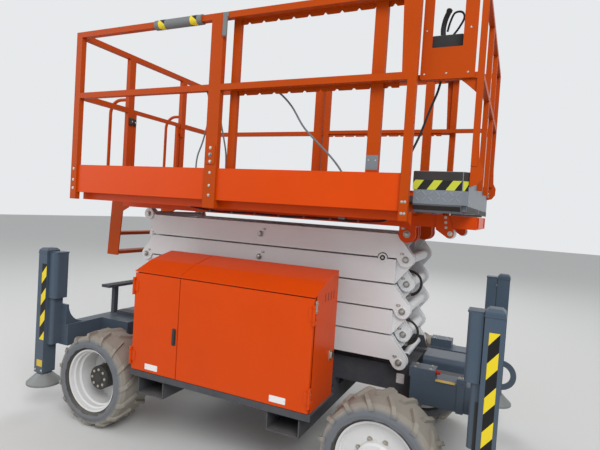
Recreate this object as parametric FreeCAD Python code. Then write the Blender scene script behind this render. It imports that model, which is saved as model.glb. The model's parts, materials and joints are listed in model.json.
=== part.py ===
import FreeCAD, Part
import math
import os

# Rough-terrain scissor lift, stowed as it parks. Millimetres.
# +X is the front, +Y the machine's left side, +Z up. The origin is on the ground, midway between the axles.
# The camera of the reference picture sees the right side (-Y) and the front end.

V = FreeCAD.Vector
X_AXIS, Y_AXIS, Z_AXIS = V(1, 0, 0), V(0, 1, 0), V(0, 0, 1)
SIDES = {"right": -1, "left": 1}

# General gaps
RUN_GAP = 0.4          # radial play of a pin in its bore
MOVE_GAP = 6.0         # least gap between pieces that move past each other
SEAT_GAP = 0.3         # gap between a piece and what it rests on

# Wheels and axles
WHEELBASE = 2076.0
TYRE_R = 335.0         # out to the tips of the lugs
TYRE_W = 300.0
WHEEL_Y = 721.5        # centre plane of each tyre
LUG_H = 20.0
LUG_T = 34.0           # length of a lug along the tread at its base
LUGS_PER_ROW = 15
RIM_R = 222.0          # outer radius of the rim's flanges
BARREL_R = 206.0       # inner radius of the rim's barrel
RIM_WALL = 8.0
RIM_INSET = 26.0       # from the tyre's side in to the rim's edge
KINGPIN_INSET = 70.0   # from the tyre's centre plane in to the steering axis
KINGPIN_R = 22.0
SPINDLE_R = 32.0
AXLE_H = 110.0
AXLE_W = 120.0

# Chassis
RAIL_Y0, RAIL_Y1 = 198.0, 285.0
RAIL_Z0, RAIL_Z1 = 535.0, 693.0
RAIL_END = WHEELBASE / 2 + 364      # both rails end here, front and rear
BEAM_X0, BEAM_X1 = RAIL_END, RAIL_END + 100
BEAM_Z0, BEAM_Z1 = 500.0, 660.0
ARM_X0, ARM_X1 = RAIL_END + 100, RAIL_END + 200      # front cross tube, in line with the posts
ARM_Z0, ARM_Z1 = 520.0, 690.0
BOLSTER_GAP = 95.0     # from the lowest front pin forward to the wide boxes
BOLSTER_Y = 440.0
BOLSTER_Z0, BOLSTER_Z1 = 545.0, 700.0
STEP_Z, STEP_HALF, STEP_T = 885.0, 350.0, 22.0

# Outriggers
POST_X0, POST_X1 = RAIL_END + 123, RAIL_END + 213
POST_Y0, POST_Y1 = 760.0, 868.0
POST_Z0, POST_Z1 = 290.0, 1237.0
POST_WALL = 8.0
COVER_DEPTH = 78.0     # cover of the leg's cylinder, from the post's inner face
COVER_Z0, COVER_Z1 = 864.0, 1205.0
COVER_GAP = 5.0
RING_Z, RING_R, RING_BORE = 430.0, 118.0, 75.0
LEG_GAP = 5.5
COLLAR_H, COLLAR_GAP = 40.0, 0.5
PAD_R = 122.0
PAD_Z = 200.0
LEG_TRAVEL = 350.0

# Cabinets beside the scissor stack
CAB_X0, CAB_X1 = -664.0, 651.0
CAB_Y0, CAB_Y1 = 505.0, 860.0
CAB_Z0, CAB_EAVE = 504.0, 1168.0
CAB_BEND_Y, CAB_BEND_Z = 710.0, 1235.0
CAB_TOP_Z = 1285.0
ENGINE_X0, ENGINE_X1, ENGINE_TOP = -230.0, 470.0, 1010.0
TANK_X0, TANK_X1, TANK_TOP = -250.0, 520.0, 930.0
SHEET = 5.0
DOOR_T = 22.0
DOOR_SEAM_X = -285.0
HINGE_R, HINGE_PIN_R = 8.0, 4.0
HINGE_HALF, HINGE_TAB = 35.0, 24.0
TRAY_Z0 = 462.0
POCKET_X = 493.0       # centre of each fork pocket from the cabinets' middle
POCKET_W, POCKET_H, POCKET_WALL = 215.0, 116.0, 8.0
POCKET_Y = 842.0

# Scissor stack
LEVELS = 5
PIN_X_FRONT, PIN_X_REAR = 1025.0, -1045.0
BOLSTER_X0, BOLSTER_X1 = PIN_X_FRONT + BOLSTER_GAP, RAIL_END + 100
PIN_Z0 = 737.5         # lowest pins, stowed
PITCH = 160.0          # height of one stowed level
ARM_H = 150.0
ARM_WALL = 6.0
OUTER_Y0, OUTER_Y1 = 290.0, 350.0
INNER_Y0, INNER_Y1 = 215.0, 275.0
LUG_R = 48.0
LUG_SETBACK = 60.0     # from a pin back to the end of the arm's tube
FORK_T = 12.0
TONGUE_T = 24.0
PIN_R = 22.0
CROSS_R = 34.0
ROLLER_R = 44.0
BUSH_X, BUSH_R = 879.0, 28.0    # rest bush between the two highest rows

# Lift cylinder, in the middle of the stack
BASE_EYE = (803.0, 795.0)
ROD_EYE = (-519.0, 1145.0)
BASE_TUBE = (903.0, 745.0)     # cross tube of the lowest inner arm, with the ears of the barrel
ROD_TUBE = (-560.0, 948.0)     # cross tube of the second inner arm, with the ears of the rod
TUBE_R = 30.0
BARREL_OUT_R = 68.0
ROD_R = 38.0
EYE_R = 44.0
EYE_W = 66.0
EAR_T = 16.0
BARREL_LEN = 1185.0    # from the base eye to the open end of the barrel
NECK = 74.0            # from the base eye to the barrel's full width

# Platform
PLAT_X0, PLAT_X1 = -1344.0, 1072.0
PLAT_Y = 844.5
FRAME_Z0, FRAME_Z1 = 1582.0, 1712.0
SIDE_BEAM_Y0, SIDE_BEAM_Y1 = 700.0, 760.0
TRACK_Y0, TRACK_Y1 = 205.0, 372.0
FLOOR_Z = 1720.0
TOE_Z0, TOE_Z1 = 1672.0, 1869.0
TOE_T = 8.0
POST_BOT_Z = 1621.0
TOP_RAIL_Z = 2798.0
MID_RAIL_Z = FLOOR_Z + 0.5985 * (TOP_RAIL_Z - FLOOR_Z)
RAIL_D = 38.0
TOE_SETBACK = 14.5     # from the posts' outer face in to the toe board's
# columns: centre along X, width along X
SIDE_POSTS = ((-1317.0, 54.0), (-119.0, 88.0), (1093.0, 46.0))
LADDER_X0, LADDER_X1, LADDER_Z0 = -1490.0, -1370.0, 1165.0
TREADS_Z = (1175.0, 1335.0)
TUBE_X0, TUBE_X1, TUBE_HOLDER_R = -620.0, -245.0, 31.0
GATE_Y0, GATE_Y1 = -330.0, 330.0
GATE_PIN_R = 9.0
HANDLE_X, HANDLE_R = -1524.0, 13.0

# Roll-out deck
DECK_X0, DECK_X1 = -40.0, 1460.0
DECK_Z0, DECK_Z1 = 1727.0, 1757.0
DECK_TRAVEL = 900.0
DECK_RAIL_Y = 781.0
GUIDE_X1, GUIDE_Z0, GUIDE_Z1 = 1420.0, 1592.0, 1668.0
DECK_ROLLER = (1278.0, 1560.0)
DECK_ROLLER_R, ROLLER_W = 31.0, 28.0
NOSE_X, NOSE_CHAMFER = 1400.0, 28.0
NOSE_Z0, NOSE_Z1 = 1675.0, 1885.0
GUARD_X0, GUARD_X1 = 1125.0, 1388.0
GUARD_Z0, GUARD_Z1 = MID_RAIL_Z - 13, TOP_RAIL_Z + 52
WINDOW_X0, WINDOW_X1 = 1172.0, 1322.0
WINDOW_Z0 = MID_RAIL_Z + 0.34 * (TOP_RAIL_Z - MID_RAIL_Z)
NOTCH_STEP, NOTCH_W, NOTCH_H = 100.0, 26.0, 14.0


def box(x0, x1, y0, y1, z0, z1):
    """Block between two opposite corners."""
    low = V(min(x0, x1), min(y0, y1), min(z0, z1))
    return Part.makeBox(abs(x1 - x0), abs(y1 - y0), abs(z1 - z0), low)


def rod(start, end, radius):
    """Round bar between two points."""
    a, b = V(*start), V(*end)
    return Part.makeCylinder(radius, (b - a).Length, a, b - a)


def cross_rod(x, z, y0, y1, radius):
    """Round bar along Y."""
    return rod((x, min(y0, y1), z), (x, max(y0, y1), z), radius)


def fuse(shapes):
    """One shape from pieces that touch or overlap."""
    shapes = list(shapes)
    if len(shapes) == 1:
        return shapes[0]
    return shapes[0].multiFuse(shapes[1:]).removeSplitter()


def square_tube(start, end, size, depth=None):
    """Square bar between two points that differ along one axis only."""
    depth = depth or size
    half = [size / 2, size / 2, size / 2]
    axis = max(range(3), key=lambda i: abs(end[i] - start[i]))
    sizes = {0: (0, depth / 2, size / 2), 1: (size / 2, 0, depth / 2), 2: (size / 2, depth / 2, 0)}[axis]
    low = [min(start[i], end[i]) - sizes[i] for i in range(3)]
    high = [max(start[i], end[i]) + sizes[i] for i in range(3)]
    return box(low[0], high[0], low[1], high[1], low[2], high[2])


def plate_xz(points, y0, y1):
    """Plate with an outline in X and Z."""
    y0, y1 = min(y0, y1), max(y0, y1)
    wire = Part.makePolygon([V(x, y0, z) for x, z in points] + [V(points[0][0], y0, points[0][1])])
    return Part.Face(wire).extrude(V(0, y1 - y0, 0))


def plate_yz(points, x0, x1):
    """Plate with an outline in Y and Z."""
    x0, x1 = min(x0, x1), max(x0, x1)
    wire = Part.makePolygon([V(x0, y, z) for y, z in points] + [V(x0, points[0][0], points[0][1])])
    return Part.Face(wire).extrude(V(x1 - x0, 0, 0))


def mirror_y(shape):
    """The same piece on the other side of the machine."""
    return shape.mirror(V(0, 0, 0), Y_AXIS)


def mirror_x(shape):
    """The same piece at the other end of the machine."""
    return shape.mirror(V(0, 0, 0), X_AXIS)


def both_sides(shape):
    """A piece and its mirror image as solids that don't touch."""
    return Part.makeCompound([shape, mirror_y(shape)])


def revolve_y(profile, centre):
    """Solid turned about the Y axis through centre; profile is (radius, y) pairs."""
    cx, cy, cz = centre
    points = [V(cx + r, cy + y, cz) for r, y in profile]
    face = Part.Face(Part.makePolygon(points + [points[0]]))
    return face.revolve(V(cx, cy, cz), Y_AXIS, 360)


def save(name, shape):
    """Writes one sub-part."""
    solids = shape.Solids
    shape = solids[0] if len(solids) == 1 else Part.makeCompound(solids)
    shape.exportStep("parts/" + name + ".step")
    print(name, len(solids), round(sum(s.Volume for s in solids) / 1e6, 2))


# Chassis
def chassis_frame():
    """Two box rails, their cross members and the plates that hold the lowest pins."""
    rail = box(-RAIL_END, RAIL_END, RAIL_Y0, RAIL_Y1, RAIL_Z0, RAIL_Z1)
    wall = 10
    hollow = box(-RAIL_END - 1, RAIL_END + 1, RAIL_Y0 + wall, RAIL_Y1 - wall, RAIL_Z0 + wall, RAIL_Z1 - wall)
    rails = [rail.cut(hollow), mirror_y(rail.cut(hollow))]
    cross_x = (PIN_X_REAR + 7, -480, 470, PIN_X_FRONT + 13)
    members = [box(x - 45, x + 45, -RAIL_Y0, RAIL_Y0, RAIL_Z0 + 15, RAIL_Z1 - 25) for x in cross_x]
    anchors = []
    for side in SIDES.values():
        outline = [(PIN_X_FRONT - 70, RAIL_Z1 - 1), (PIN_X_FRONT + 70, RAIL_Z1 - 1),
                   (PIN_X_FRONT + 40, PIN_Z0 + 40), (PIN_X_FRONT - 40, PIN_Z0 + 40)]
        plate = plate_xz(outline, side * (RAIL_Y1 - 23), side * (RAIL_Y1 - 3))
        anchors.append(plate.cut(cross_rod(PIN_X_FRONT, PIN_Z0, -400, 400, PIN_R + RUN_GAP)))
    return fuse(rails + members + anchors)


def rear_beam():
    """Rear cross beam with the curved gussets at its ends and the boxes beside the rails."""
    pieces = [box(-BEAM_X1, -BEAM_X0, -POST_Y0, POST_Y0, BEAM_Z0, BEAM_Z1)]
    radius, steps = 150, 8
    corner_y = POST_Y0 - 20
    for side in SIDES.values():
        curve = []
        for i in range(steps + 1):
            turn = math.pi / 2 * i / steps
            curve.append((side * (corner_y - radius + radius * math.sin(turn)),
                          BEAM_Z1 + radius - radius * math.cos(turn)))
        outline = curve + [(side * POST_Y0, BEAM_Z1 + radius), (side * POST_Y0, BEAM_Z1 - 5),
                           (side * (corner_y - radius), BEAM_Z1 - 5)]
        pieces.append(plate_yz(outline, -BEAM_X1 + 5, -BEAM_X0 - 25))
        pieces.append(mirror_x(leg_tube(side, BEAM_Z0 + 10)))
        pieces.append(box(-BOLSTER_X0, -BEAM_X0, side * (RAIL_Y1 + SEAT_GAP), side * BOLSTER_Y, BOLSTER_Z0, BEAM_Z1))
    return fuse(pieces)


def leg_tube(side, z0):
    """Rounded upright between a front cross tube's end and its post, up to the cylinder's cover."""
    tube = box(POST_X0 - 45, POST_X0, side * (POST_Y0 - 20), side * (POST_Y1 - 28), z0, COVER_Z0)
    return tube.makeFillet(24, [e for e in tube.Edges if abs(e.CenterOfMass.x - (POST_X0 - 45)) < 1
                                and abs(e.CenterOfMass.z - (z0 + COVER_Z0) / 2) < 1])


def front_beam():
    """Front cross tube in line with the posts, with the wide box behind it, clamps and valve box."""
    pieces = [box(ARM_X0, ARM_X1, -POST_Y0, POST_Y0, ARM_Z0, ARM_Z1)]
    for side in SIDES.values():
        inner_y = RAIL_Y1 + SEAT_GAP
        hollow = box(BOLSTER_X0 - 1, BOLSTER_X1 - 8, side * (inner_y + 8), side * (BOLSTER_Y - 8),
                     BOLSTER_Z0 + 8, BOLSTER_Z1 - 8)
        beam = box(BOLSTER_X0, BOLSTER_X1 + 1, side * inner_y, side * BOLSTER_Y, BOLSTER_Z0, BOLSTER_Z1)
        pieces.append(beam.cut(hollow))
        pieces.append(leg_tube(side, ARM_Z0 + 20))
        strap_x = RAIL_END - 15
        strap = box(strap_x, strap_x + 40, side * (inner_y + 30), side * (BOLSTER_Y + 6), BOLSTER_Z0 - 6, BOLSTER_Z1 + 6)
        lug = box(strap_x - 6, strap_x + 46, side * (BOLSTER_Y - 60), side * BOLSTER_Y, BOLSTER_Z1 - 1, BOLSTER_Z1 + 34)
        pieces.append(strap.cut(box(strap_x - 1, strap_x + 41, side * (inner_y + 29), side * BOLSTER_Y,
                                    BOLSTER_Z0, BOLSTER_Z1)).fuse(lug))
        pieces.append(box(BOLSTER_X0 - 10, BOLSTER_X0 + 138, side * (BOLSTER_Y - 110), side * (BOLSTER_Y - 2),
                          BOLSTER_Z1 - 1, BOLSTER_Z1 + 55))
    cover = box(BOLSTER_X0 + 15, RAIL_END + 101, -120, 120, ARM_Z0 + 60, ARM_Z1 + 52)
    long_edges = [e for e in cover.Edges if abs(e.CenterOfMass.z - (ARM_Z1 + 52)) < 1 and abs(e.CenterOfMass.y) > 100]
    pieces.append(cover.makeFillet(34, long_edges))
    return fuse(pieces)


def rear_step():
    """Tee-shaped step bar on the rear cross beam."""
    bar = box(-BEAM_X1 - 18, -BEAM_X0 - 28, -STEP_HALF, STEP_HALF, STEP_Z, STEP_Z + STEP_T)
    posts = [box(-BEAM_X1 + 12, -BEAM_X0 - 53, s * 225, s * 265, BEAM_Z1, STEP_Z) for s in SIDES.values()]
    return fuse([bar] + posts)


def outrigger_post(ringed):
    """Upright housing of one outrigger, open below, with its bevelled cap and side cover; front ones have a ring."""
    outer = box(POST_X0, POST_X1, POST_Y0, POST_Y1, POST_Z0, POST_Z1)
    outer = outer.makeChamfer(16, [e for e in outer.Edges if e.CenterOfMass.z > POST_Z1 - 1])
    lip = box(POST_X0 - 3, POST_X1 + 3, POST_Y0 - 3, POST_Y1 + 3, POST_Z1 - 40, POST_Z1 - 32)
    inner = box(POST_X0 + POST_WALL, POST_X1 - POST_WALL, POST_Y0 + POST_WALL, POST_Y1 - POST_WALL,
                POST_Z0 + COLLAR_H, POST_Z1 - 30)
    near = POST_WALL + LEG_GAP - COLLAR_GAP
    mouth = box(POST_X0 + near, POST_X1 - near, POST_Y0 + near, POST_Y1 - near, POST_Z0 - 1, POST_Z0 + COLLAR_H + 1)
    cover_x0, cover_y0, cover_y1 = POST_X0 - COVER_DEPTH, POST_Y0 - 15, POST_Y1 - 18
    cover = box(cover_x0, POST_X0 - COVER_GAP, cover_y0, cover_y1, COVER_Z0, COVER_Z1)
    cover = cover.makeFillet(30, [e for e in cover.Edges if abs(e.CenterOfMass.x - cover_x0) < 1
                                  and abs(e.CenterOfMass.y - cover_y1) < 1])
    lid = box(cover_x0 - 3, POST_X0 - COVER_GAP, cover_y0 - 3, cover_y1 - 8, COVER_Z1 - 1, COVER_Z1 + 8)
    neck = box(cover_x0 + 20, POST_X0 + 1, cover_y0 + 20, cover_y1 - 16, COVER_Z0 + 12, COVER_Z1 - 12)
    pieces = [outer, lip, cover, lid, neck]
    if ringed:
        mid_y = (POST_Y0 + POST_Y1) / 2
        ring = Part.makeCylinder(RING_R, 14, V(POST_X1 - 20, mid_y - 7, RING_Z), Y_AXIS)
        ring = ring.cut(Part.makeCylinder(RING_BORE, 30, V(POST_X1 - 20, mid_y - 15, RING_Z), Y_AXIS))
        pieces.append(ring.common(box(POST_X1 - 1, POST_X1 + 200, POST_Y0, POST_Y1, POST_Z0, POST_Z1)))
    return fuse(pieces).cut(inner).cut(mouth)


def outrigger_leg():
    """Sliding leg with its foot pad, retracted."""
    gap = POST_WALL + LEG_GAP
    leg = box(POST_X0 + gap, POST_X1 - gap, POST_Y0 + gap, POST_Y1 - gap, PAD_Z + 50, POST_Z1 - 60)
    mid_x, mid_y = (POST_X0 + POST_X1) / 2, (POST_Y0 + POST_Y1) / 2
    pad = Part.makeCone(PAD_R, 52, 66, V(mid_x, mid_y, PAD_Z + 14))
    dish = Part.makeCylinder(PAD_R, 14, V(mid_x, mid_y, PAD_Z))
    return fuse([leg, pad, dish])


def at_corners(shape):
    """A front left piece copied to the four corners, by corner name."""
    return {"front_left": shape, "front_right": mirror_y(shape),
            "rear_left": mirror_x(shape), "rear_right": mirror_x(mirror_y(shape))}


# Axles and wheels
KINGPIN_Y = WHEEL_Y - KINGPIN_INSET
YOKE_GAP = 72.0


def front_axle():
    """Steering axle: beam, a yoke at each end and the kingpins' bores."""
    z = TYRE_R
    x = WHEELBASE / 2
    beam_end = KINGPIN_Y - 78
    pieces = [box(x - AXLE_W / 2, x + AXLE_W / 2, -beam_end, beam_end, z - AXLE_H / 2, z + AXLE_H / 2)]
    for side in SIDES.values():
        for up in (-1, 1):
            arm = box(x - 45, x + 45, side * (beam_end - 60), side * (KINGPIN_Y + 30),
                      z + up * YOKE_GAP, z + up * (YOKE_GAP + 22))
            pieces.append(arm)
        pieces.append(box(x - 45, x + 45, side * (beam_end - 60), side * beam_end, z - YOKE_GAP - 22, z + YOKE_GAP + 22))
    for side in SIDES.values():
        pieces.append(box(x - 60, x + 60, side * RAIL_Y0, side * RAIL_Y1, z + AXLE_H / 2 - 1, RAIL_Z0 - SEAT_GAP))
    axle = fuse(pieces)
    for side in SIDES.values():
        bore = rod((x, side * KINGPIN_Y, z - 120), (x, side * KINGPIN_Y, z + 120), KINGPIN_R + RUN_GAP)
        axle = axle.cut(bore)
    return axle


def knuckle():
    """Left steering knuckle: kingpin, hub motor housing, spindle and steering arm."""
    z, x, y = TYRE_R, WHEELBASE / 2, KINGPIN_Y
    block_h = YOKE_GAP - MOVE_GAP
    block = rod((x, y, z - block_h), (x, y, z + block_h), 58)
    kingpin = rod((x, y, z - YOKE_GAP - 26), (x, y, z + YOKE_GAP + 26), KINGPIN_R)
    motor = rod((x, y + 52, z), (x, y + 112, z), 84)
    spindle = rod((x, y + 100, z), (x, y + 178, z), SPINDLE_R)
    return fuse([block, kingpin, motor, spindle])


def rear_axle():
    """Rigid rear axle with its spindles and the stands that carry the rails."""
    z, x = TYRE_R, -WHEELBASE / 2
    end = WHEEL_Y - 120
    pieces = [box(x - AXLE_W / 2, x + AXLE_W / 2, -end, end, z - AXLE_H / 2, z + AXLE_H / 2)]
    for side in SIDES.values():
        pieces.append(cross_rod(x, z, side * (end - 30), side * (end + 20), 88))
        pieces.append(cross_rod(x, z, side * end, side * (WHEEL_Y + 36), SPINDLE_R))
        pieces.append(box(x - 60, x + 60, side * RAIL_Y0, side * RAIL_Y1, z + AXLE_H / 2 - 1, RAIL_Z0 - SEAT_GAP))
    return fuse(pieces)


def tyre():
    """Tyre about the origin, axis along Y, outer side towards +Y, with chevron lugs."""
    half = TYRE_W / 2
    tread_r = TYRE_R - LUG_H
    seat_r = BARREL_R + RIM_WALL + SEAT_GAP
    flange_y = half - RIM_INSET
    # columns: radius, distance from the centre plane
    edge = [(seat_r, flange_y - 26), (RIM_R + 4, flange_y - 12), (RIM_R + 4, flange_y + 4), (RIM_R + 12, half - 4),
            (tread_r - 55, half), (tread_r - 12, half - 14), (tread_r, half - 40)]
    profile = edge + [(r, -y) for r, y in reversed(edge)]
    carcass = revolve_y(profile, (0, 0, 0))
    lugs = []
    step = 360 / LUGS_PER_ROW
    for side in SIDES.values():
        for i in range(LUGS_PER_ROW):
            turn = step * (i + (0.25 if side > 0 else 0.75))
            lugs.append(tyre_lug(side, turn))
    return carcass.multiFuse(lugs)


def tyre_lug(side, turn):
    """One slanted lug that runs from the tread's middle over the shoulder."""
    half = TYRE_W / 2
    base = TYRE_R - LUG_H - 14
    # columns: distance from the centre plane, sweep along the tread, radius of the top
    rows = [(6, 0, TYRE_R), (half - 34, 46, TYRE_R), (half - 4, 60, TYRE_R - 24)]
    wires = []
    for y, sweep, reach in rows:
        top = math.sqrt(reach ** 2 - (sweep + LUG_T / 2 - 5) ** 2)
        low = [V(sweep - LUG_T / 2, side * y, base - (TYRE_R - top) * 0.8),
               V(sweep + LUG_T / 2, side * y, base - (TYRE_R - top) * 0.8)]
        high = [V(sweep + LUG_T / 2 - 5, side * y, top), V(sweep - LUG_T / 2 + 5, side * y, top)]
        wires.append(Part.makePolygon(low + high + [low[0]]))
    lug = Part.makeLoft(wires, True, True)
    lug.rotate(V(0, 0, 0), Y_AXIS, turn)
    return lug


def rim(disc_y, hub_r, hub_y0, hub_y1):
    """Rim about the origin with its disc and hub; outer side towards +Y."""
    half = TYRE_W / 2 - RIM_INSET
    barrel = [(BARREL_R, -half), (RIM_R, -half - 3), (RIM_R, -half + 10), (BARREL_R + RIM_WALL, -half + 22),
              (BARREL_R + RIM_WALL, half - 22), (RIM_R, half - 10), (RIM_R, half + 3), (BARREL_R + 4, half),
              (BARREL_R, half - 26), (BARREL_R - 9, half - 34), (BARREL_R - 9, half - 66), (BARREL_R - 20, half - 76),
              (BARREL_R - 20, 30 - half)]
    ring = revolve_y(barrel, (0, 0, 0))
    bore = SPINDLE_R + RUN_GAP
    disc = revolve_y([(bore, disc_y), (BARREL_R + 2, disc_y), (BARREL_R + 2, disc_y + 12), (bore, disc_y + 12)], (0, 0, 0))
    hub = revolve_y([(bore, hub_y0), (hub_r, hub_y0), (hub_r, hub_y1 - 12), (hub_r - 12, hub_y1), (0, hub_y1),
                     (0, hub_y1 - 14), (bore, hub_y1 - 14)], (0, 0, 0))
    return fuse([ring, disc, hub])


# Side trays, fork pockets and cabinets
def side_tray():
    """Tray under the left cabinet, hung from the chassis rail."""
    floor = box(CAB_X0 - 3, CAB_X1 + 12, CAB_Y0 - 30, CAB_Y1 + 2, TRAY_Z0 + 28, CAB_Z0 - SEAT_GAP)
    lip = box(CAB_X0 - 3, CAB_X1 + 12, CAB_Y1 - 10, CAB_Y1 + 2, TRAY_Z0 + 4, CAB_Z0 - SEAT_GAP)
    hangers = [box(x - 30, x + 30, RAIL_Y1 + SEAT_GAP, CAB_Y0 - SEAT_GAP, TRAY_Z0 + 28, RAIL_Z0 + 40)
               for x in (-560, 0, 560)]
    return fuse([floor, lip] + hangers)


def fork_pocket(x):
    """One rectangular fork pocket right across the machine."""
    z1 = TRAY_Z0 - SEAT_GAP
    outer = box(x - POCKET_W / 2, x + POCKET_W / 2, -POCKET_Y, POCKET_Y, z1 - POCKET_H, z1)
    inner = box(x - POCKET_W / 2 + POCKET_WALL, x + POCKET_W / 2 - POCKET_WALL, -POCKET_Y - 1, POCKET_Y + 1,
                z1 - POCKET_H + POCKET_WALL, z1 - POCKET_WALL)
    spacers = [box(x - POCKET_W / 2, x + POCKET_W / 2, s * RAIL_Y0, s * RAIL_Y1, z1 - 1, RAIL_Z0 - SEAT_GAP)
               for s in SIDES.values()]
    return fuse([outer.cut(inner)] + spacers)


def cabinet_shell():
    """Left cabinet without its doors: back, ends, floor, centre pillar and the bent top."""
    back = box(CAB_X0, CAB_X1, CAB_Y0, CAB_Y0 + SHEET, CAB_Z0, CAB_TOP_Z - SHEET)
    door_back = CAB_Y1 - DOOR_T - MOVE_GAP
    floor = box(CAB_X0, CAB_X1, CAB_Y0, door_back, CAB_Z0, CAB_Z0 + SHEET)
    slope = (CAB_BEND_Z - CAB_EAVE) / (CAB_Y1 - CAB_BEND_Y)
    ends = []
    under = [(CAB_Y0, CAB_Z0), (door_back, CAB_Z0), (door_back, CAB_EAVE + slope * (CAB_Y1 - door_back) - 2),
             (CAB_BEND_Y, CAB_BEND_Z - 2), (CAB_Y0, CAB_TOP_Z - 2)]
    for x in (CAB_X0, CAB_X1 - SHEET):
        ends.append(plate_yz(under, x, x + SHEET))
    pillar = box(DOOR_SEAM_X - 25, DOOR_SEAM_X + 25, door_back - 40, door_back, CAB_Z0, CAB_EAVE)
    top_outline = [(CAB_Y1, CAB_EAVE), (CAB_BEND_Y, CAB_BEND_Z), (CAB_Y0, CAB_TOP_Z),
                   (CAB_Y0, CAB_TOP_Z - SHEET), (CAB_BEND_Y - 1, CAB_BEND_Z - SHEET), (CAB_Y1, CAB_EAVE - SHEET)]
    top = plate_yz(top_outline, CAB_X0, CAB_X1)
    shell = fuse([back, floor, pillar, top] + ends + fixed_hinges(CAB_X0) + fixed_hinges(CAB_X1))
    for y in (CAB_Y0 + 60, CAB_Y0 + 105, CAB_Y0 + 150, CAB_Y0 + 195):
        shell = shell.cut(box(CAB_X1 - SHEET - 1, CAB_X1 + 1, y, y + 12, CAB_EAVE - 50, CAB_EAVE))
    return shell


def hinge_heights():
    """Middle of each of a cabinet door's two hinges."""
    z0, z1 = CAB_Z0 + 4, CAB_EAVE - SHEET - MOVE_GAP
    return (z0 + 90, z1 - 90)


def fixed_hinges(hinge_x):
    """Left cabinet's halves of the hinges at one end: two knuckles, their leaves and the pin."""
    outward = 1 if hinge_x > 0 else -1
    hinge_y = CAB_Y1 + HINGE_R - 1
    pieces = []
    for z in hinge_heights():
        for z0 in (z - HINGE_HALF - HINGE_TAB, z + HINGE_HALF):
            z1 = z0 + HINGE_TAB
            pieces.append(rod((hinge_x, hinge_y, z0 + 1), (hinge_x, hinge_y, z1 - 1), HINGE_R))
            pieces.append(box(hinge_x, hinge_x + outward * 4, CAB_Y1 - 60, hinge_y, z0 + 1, z1 - 1))
        pieces.append(rod((hinge_x, hinge_y, z - HINGE_HALF - 5), (hinge_x, hinge_y, z + HINGE_HALF + 5), HINGE_PIN_R))
    return pieces


def door(x0, x1, hinge_x):
    """Left-side cabinet door: a pan with its flanges turned in, and hinge knuckles at one end."""
    z0, z1 = CAB_Z0 + 4, CAB_EAVE - SHEET - MOVE_GAP
    if hinge_x > x0:
        x1 -= MOVE_GAP
    else:
        x0 += MOVE_GAP
    outer = box(x0, x1, CAB_Y1 - DOOR_T, CAB_Y1, z0, z1)
    inner = box(x0 + 3, x1 - 3, CAB_Y1 - DOOR_T - 1, CAB_Y1 - 3, z0 + 3, z1 - 3)
    hinge_y = CAB_Y1 + HINGE_R - 1
    inboard = -1 if hinge_x > 0 else 1
    knuckles = []
    for z in hinge_heights():
        low, high = z - HINGE_HALF + 1, z + HINGE_HALF - 1
        barrel = rod((hinge_x, hinge_y, low), (hinge_x, hinge_y, high), HINGE_R)
        leaf = box(hinge_x + inboard * (MOVE_GAP + 30), hinge_x, CAB_Y1 - 1, CAB_Y1 + 4, low, high)
        bore = rod((hinge_x, hinge_y, low - 1), (hinge_x, hinge_y, high + 1), HINGE_PIN_R + RUN_GAP)
        knuckles.append(barrel.fuse(leaf).cut(bore))
    return fuse([outer.cut(inner)] + knuckles)


def engine_block():
    """Engine inside the left cabinet."""
    return box(ENGINE_X0, ENGINE_X1, CAB_Y0 + 25, CAB_Y1 - 75, CAB_Z0 + SHEET + SEAT_GAP, ENGINE_TOP)


def tank_block():
    """Oil and fuel tank inside the right cabinet."""
    return box(TANK_X0, TANK_X1, -(CAB_Y0 + 25), -(CAB_Y1 - 75), CAB_Z0 + SHEET + SEAT_GAP, TANK_TOP)


# Scissor arms
def arm_ends(level, layer):
    """Lower and upper pin of an arm as (x, z), with the side of the lower one."""
    leans_back = (level % 2 == 1) == (layer == "outer")
    low_x, high_x = (PIN_X_FRONT, PIN_X_REAR) if leans_back else (PIN_X_REAR, PIN_X_FRONT)
    z0 = PIN_Z0 + PITCH * (level - 1)
    return (low_x, z0), (high_x, z0 + PITCH)


def lug_plate(pin, tube_x, z_low, z_high, y0, y1, radius=LUG_R):
    """Plate from the end of an arm's tube out to the rounded lug round a pin."""
    px, pz = pin
    disc = cross_rod(px, pz, y0, y1, radius)
    corners = [(tube_x, z_low), (tube_x, z_high)]
    outline = hull_to_circle(corners, px, pz, radius)
    return disc.fuse(plate_xz(outline, y0, y1))


def hull_to_circle(corners, cx, cz, radius):
    """Outline that joins two corners to their outer tangent points on a circle."""
    points = []
    (x0, z0), (x1, z1) = corners
    for (x, z), turn in (((x0, z0), 1), ((x1, z1), -1)):
        dx, dz = cx - x, cz - z
        far = math.hypot(dx, dz)
        aim = math.atan2(dz, dx)
        swing = math.acos(min(1, radius / far))
        facing = 1 if cx > x else -1
        angle = aim + math.pi - turn * facing * (-swing)
        points.append((cx + radius * math.cos(angle), cz + radius * math.sin(angle)))
    return [corners[0], points[0], (cx, cz), points[1], corners[1]]


def end_lugs(pin, tube_x, z0, z1, y0, y1, kind):
    """End of one arm tube: a fork, a tongue, or a tongue between two rollers."""
    mid_y = (y0 + y1) / 2
    if kind == "fork":
        spans = ((y0, y0 + FORK_T), (y1 - FORK_T, y1))
        return [lug_plate(pin, tube_x, z0, z1, a, b) for a, b in spans]
    radius = LUG_R if kind == "tongue" else ROLLER_R - 8
    tongue = lug_plate(pin, tube_x, z0, z1, mid_y - TONGUE_T / 2, mid_y + TONGUE_T / 2, radius)
    if kind != "rollers":
        return [tongue]
    wheels = [cross_rod(pin[0], pin[1], a, b, ROLLER_R) for a, b in ((y0 + 2, mid_y - 14), (mid_y + 14, y1 - 2))]
    return [tongue, cross_rod(pin[0], pin[1], y0 + 2, y1 - 2, PIN_R)] + wheels


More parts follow.
